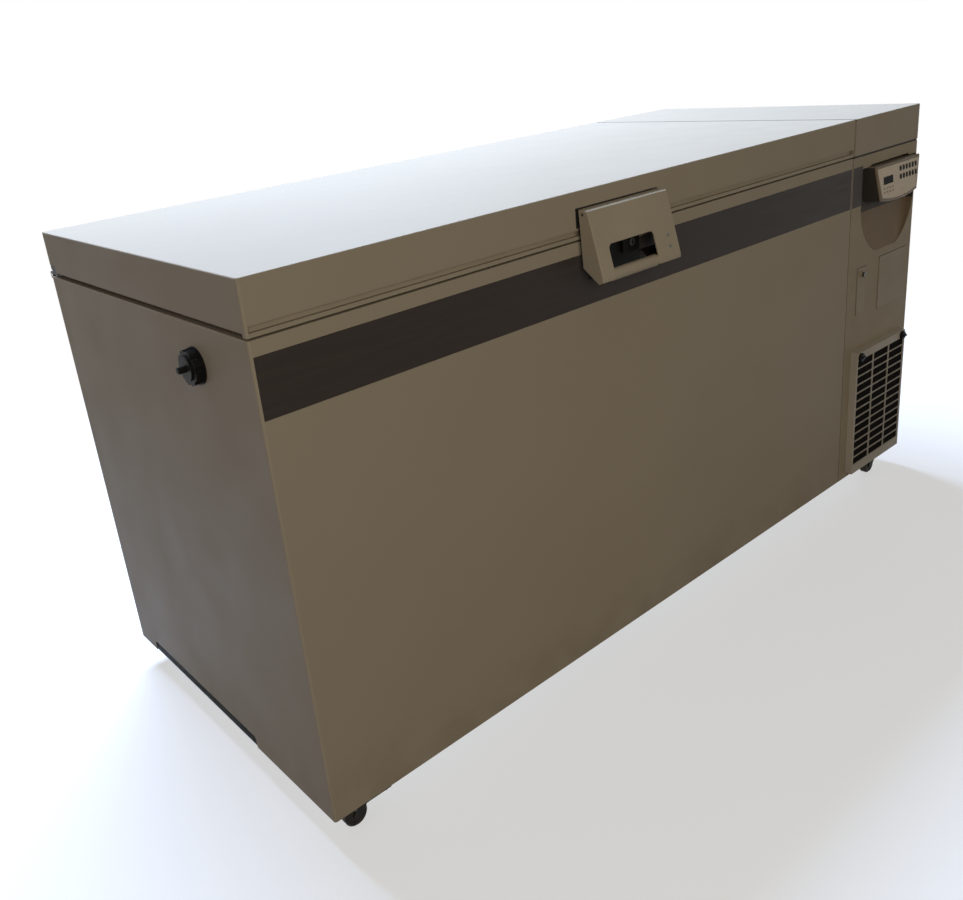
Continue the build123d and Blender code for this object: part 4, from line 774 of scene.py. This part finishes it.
caster_bolt = chamfered_disc(6, bolt_radius, bolt_height, washer_height, bolt_chamfer)
chamfered_disc(washer_sides, washer_radius, washer_height, 0.0, washer_chamfer)
caster_bolt.select_set(True)
bpy.context.view_layer.objects.active = caster_bolt
bpy.ops.object.join()
bpy.ops.object.shade_smooth_by_angle(angle=smooth_angle)
plates_low, plates_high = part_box("caster_plates")
bolt_face = plates_high.z - plate_stand_off
bolt_columns = [
    end + side * (plate_half_length - bolt_from_edge)
    for end in (plates_low.x + plate_half_length, plates_high.x - plate_half_length)
    for side in (-1, 1)
]
bolt_rows = [
    end + side * (plate_half_width - bolt_from_edge)
    for end in (plates_low.y + plate_half_width, plates_high.y - plate_half_width)
    for side in (-1, 1)
]
set_out(
    "caster_bolts",
    caster_bolt,
    [facing((0, 0, -1), (x, y, bolt_face)) for x in bolt_columns for y in bolt_rows],
    "cabinet",
    turned_steel("dull_steel", dull_steel_light, dull_steel_dark, 0.36),
)

# Floor
# A wide matt studio floor, pale by the freezer, where it keeps the shadow.
# Further off it glows up to the white of the backdrop.
floor_size = 40.0
floor_pale = (0.40, 0.43, 0.48)
floor_dim = (0.16, 0.15, 0.14)
floor_none = (0.0, 0.0, 0.0)
floor_glow = 0.52
floor_near, floor_far = 1.3, 3.0
white = (1.0, 1.0, 1.0)
bpy.ops.object.select_all(action="DESELECT")
bpy.ops.mesh.primitive_plane_add(size=floor_size, location=(0.0, 0.0, 0.0))
floor = bpy.context.object
floor.name = "studio_floor"
floor_finish, tree, shader, place = new_finish("studio_floor", 0.9, shine=0.0)


def seen_directly(tree):
    """1 for what the camera, a reflection or glass shows, 0 for light that bounces."""
    rays = tree.nodes.new("ShaderNodeLightPath")
    shown = rays.outputs["Is Camera Ray"]
    for ray in ("Is Glossy Ray", "Is Transmission Ray"):
        either = tree.nodes.new("ShaderNodeMath")
        either.operation = "MAXIMUM"
        tree.links.new(shown, either.inputs[0])
        tree.links.new(rays.outputs[ray], either.inputs[1])
        shown = either.outputs["Value"]
    return shown


shown = seen_directly(tree)
reach = tree.nodes.new("ShaderNodeVectorMath")
reach.operation = "LENGTH"
tree.links.new(place, reach.inputs[0])
far_off = spread(tree, reach.outputs["Value"], floor_near, floor_far)
near_tone = tinted(tree, shown, floor_dim, floor_pale)
tree.links.new(tinted(tree, far_off, near_tone, floor_none), shader.inputs["Base Color"])
shader.inputs["Emission Color"].default_value = (*white, 1.0)
glow = spread(tree, far_off, 0.0, 1.0, to_low=floor_glow, to_high=1.0)
tree.links.new(times(tree, shown, glow), shader.inputs["Emission Strength"])
floor.data.materials.append(floor_finish)

# Light
# A broad cool soft box overhead and behind, and weak warm fills in front and at both ends.
# The room is dim and warm, and shows as white.
overhead_blue = (0.645, 0.775, 1.0)
front_amber = (1.0, 0.86, 0.65)
left_rose = (1.0, 0.80, 0.74)
right_amber = (1.0, 0.9, 0.8)
room_dim = (0.12, 0.102, 0.078)
bpy.context.scene.view_settings.view_transform = "Standard"


def soft_box(name, place, aim, size, watts, colour):
    """A rectangular studio lamp at a place, aimed at a point."""
    bpy.ops.object.light_add(type="AREA", location=place)
    lamp = bpy.context.object
    lamp.name = name
    lamp.data.shape = "RECTANGLE"
    lamp.data.size, lamp.data.size_y = size
    lamp.data.energy = watts
    lamp.data.color = colour
    lamp.rotation_euler = (Vector(aim) - Vector(place)).to_track_quat("-Z", "Y").to_euler()


soft_box(
    "overhead", (0.2, 2.2, 4.2), aim=(0.1, 0.1, 1.0), size=(3.2, 1.8), watts=610.0, colour=overhead_blue
)
soft_box(
    "front_fill", (-2.0, -3.9, 1.9), aim=(-0.3, 0.0, 0.6), size=(3.0, 2.0), watts=62.0, colour=front_amber
)
soft_box(
    "left_fill", (-4.4, -0.6, 1.7), aim=(-1.0, 0.0, 0.6), size=(2.0, 2.0), watts=11.0, colour=left_rose
)
soft_box(
    "right_fill", (4.4, 1.2, 0.6), aim=(1.0, 0.1, 0.6), size=(2.0, 0.7), watts=42.0, colour=right_amber
)
world = bpy.data.worlds.new("studio_world")
bpy.context.scene.world = world
world.use_nodes = True
sky = world.node_tree.nodes["Background"]
backdrop = tinted(world.node_tree, seen_directly(world.node_tree), room_dim, white)
world.node_tree.links.new(backdrop, sky.inputs["Color"])

# Camera
# Placed where the photograph was taken from: above the front left corner, looking to the back right.
# Its place is measured from the cabinet wrap's corner, and its lens and shift give the photograph's frame.
wrap_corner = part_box("cabinet_wrap")[0]
camera_left_of_corner, camera_before_corner, camera_height = 0.5975, 1.2191, 1.3624
camera_right = (0.76152, -0.63994, -0.10276)
camera_up = (0.29796, 0.20486, 0.93234)
camera_back = (-0.57559, -0.74061, 0.34668)
camera_place = (wrap_corner.x - camera_left_of_corner, wrap_corner.y - camera_before_corner, camera_height)
bpy.ops.object.camera_add()
camera = bpy.context.object
camera.data.sensor_width = 36.0
camera.data.lens = 35.07
camera.data.shift_x = 0.0411
camera.data.shift_y = -0.0589
turn = Matrix((camera_right, camera_up, camera_back)).transposed().to_4x4()
camera.matrix_world = Matrix.Translation(camera_place) @ turn
bpy.context.scene.camera = camera
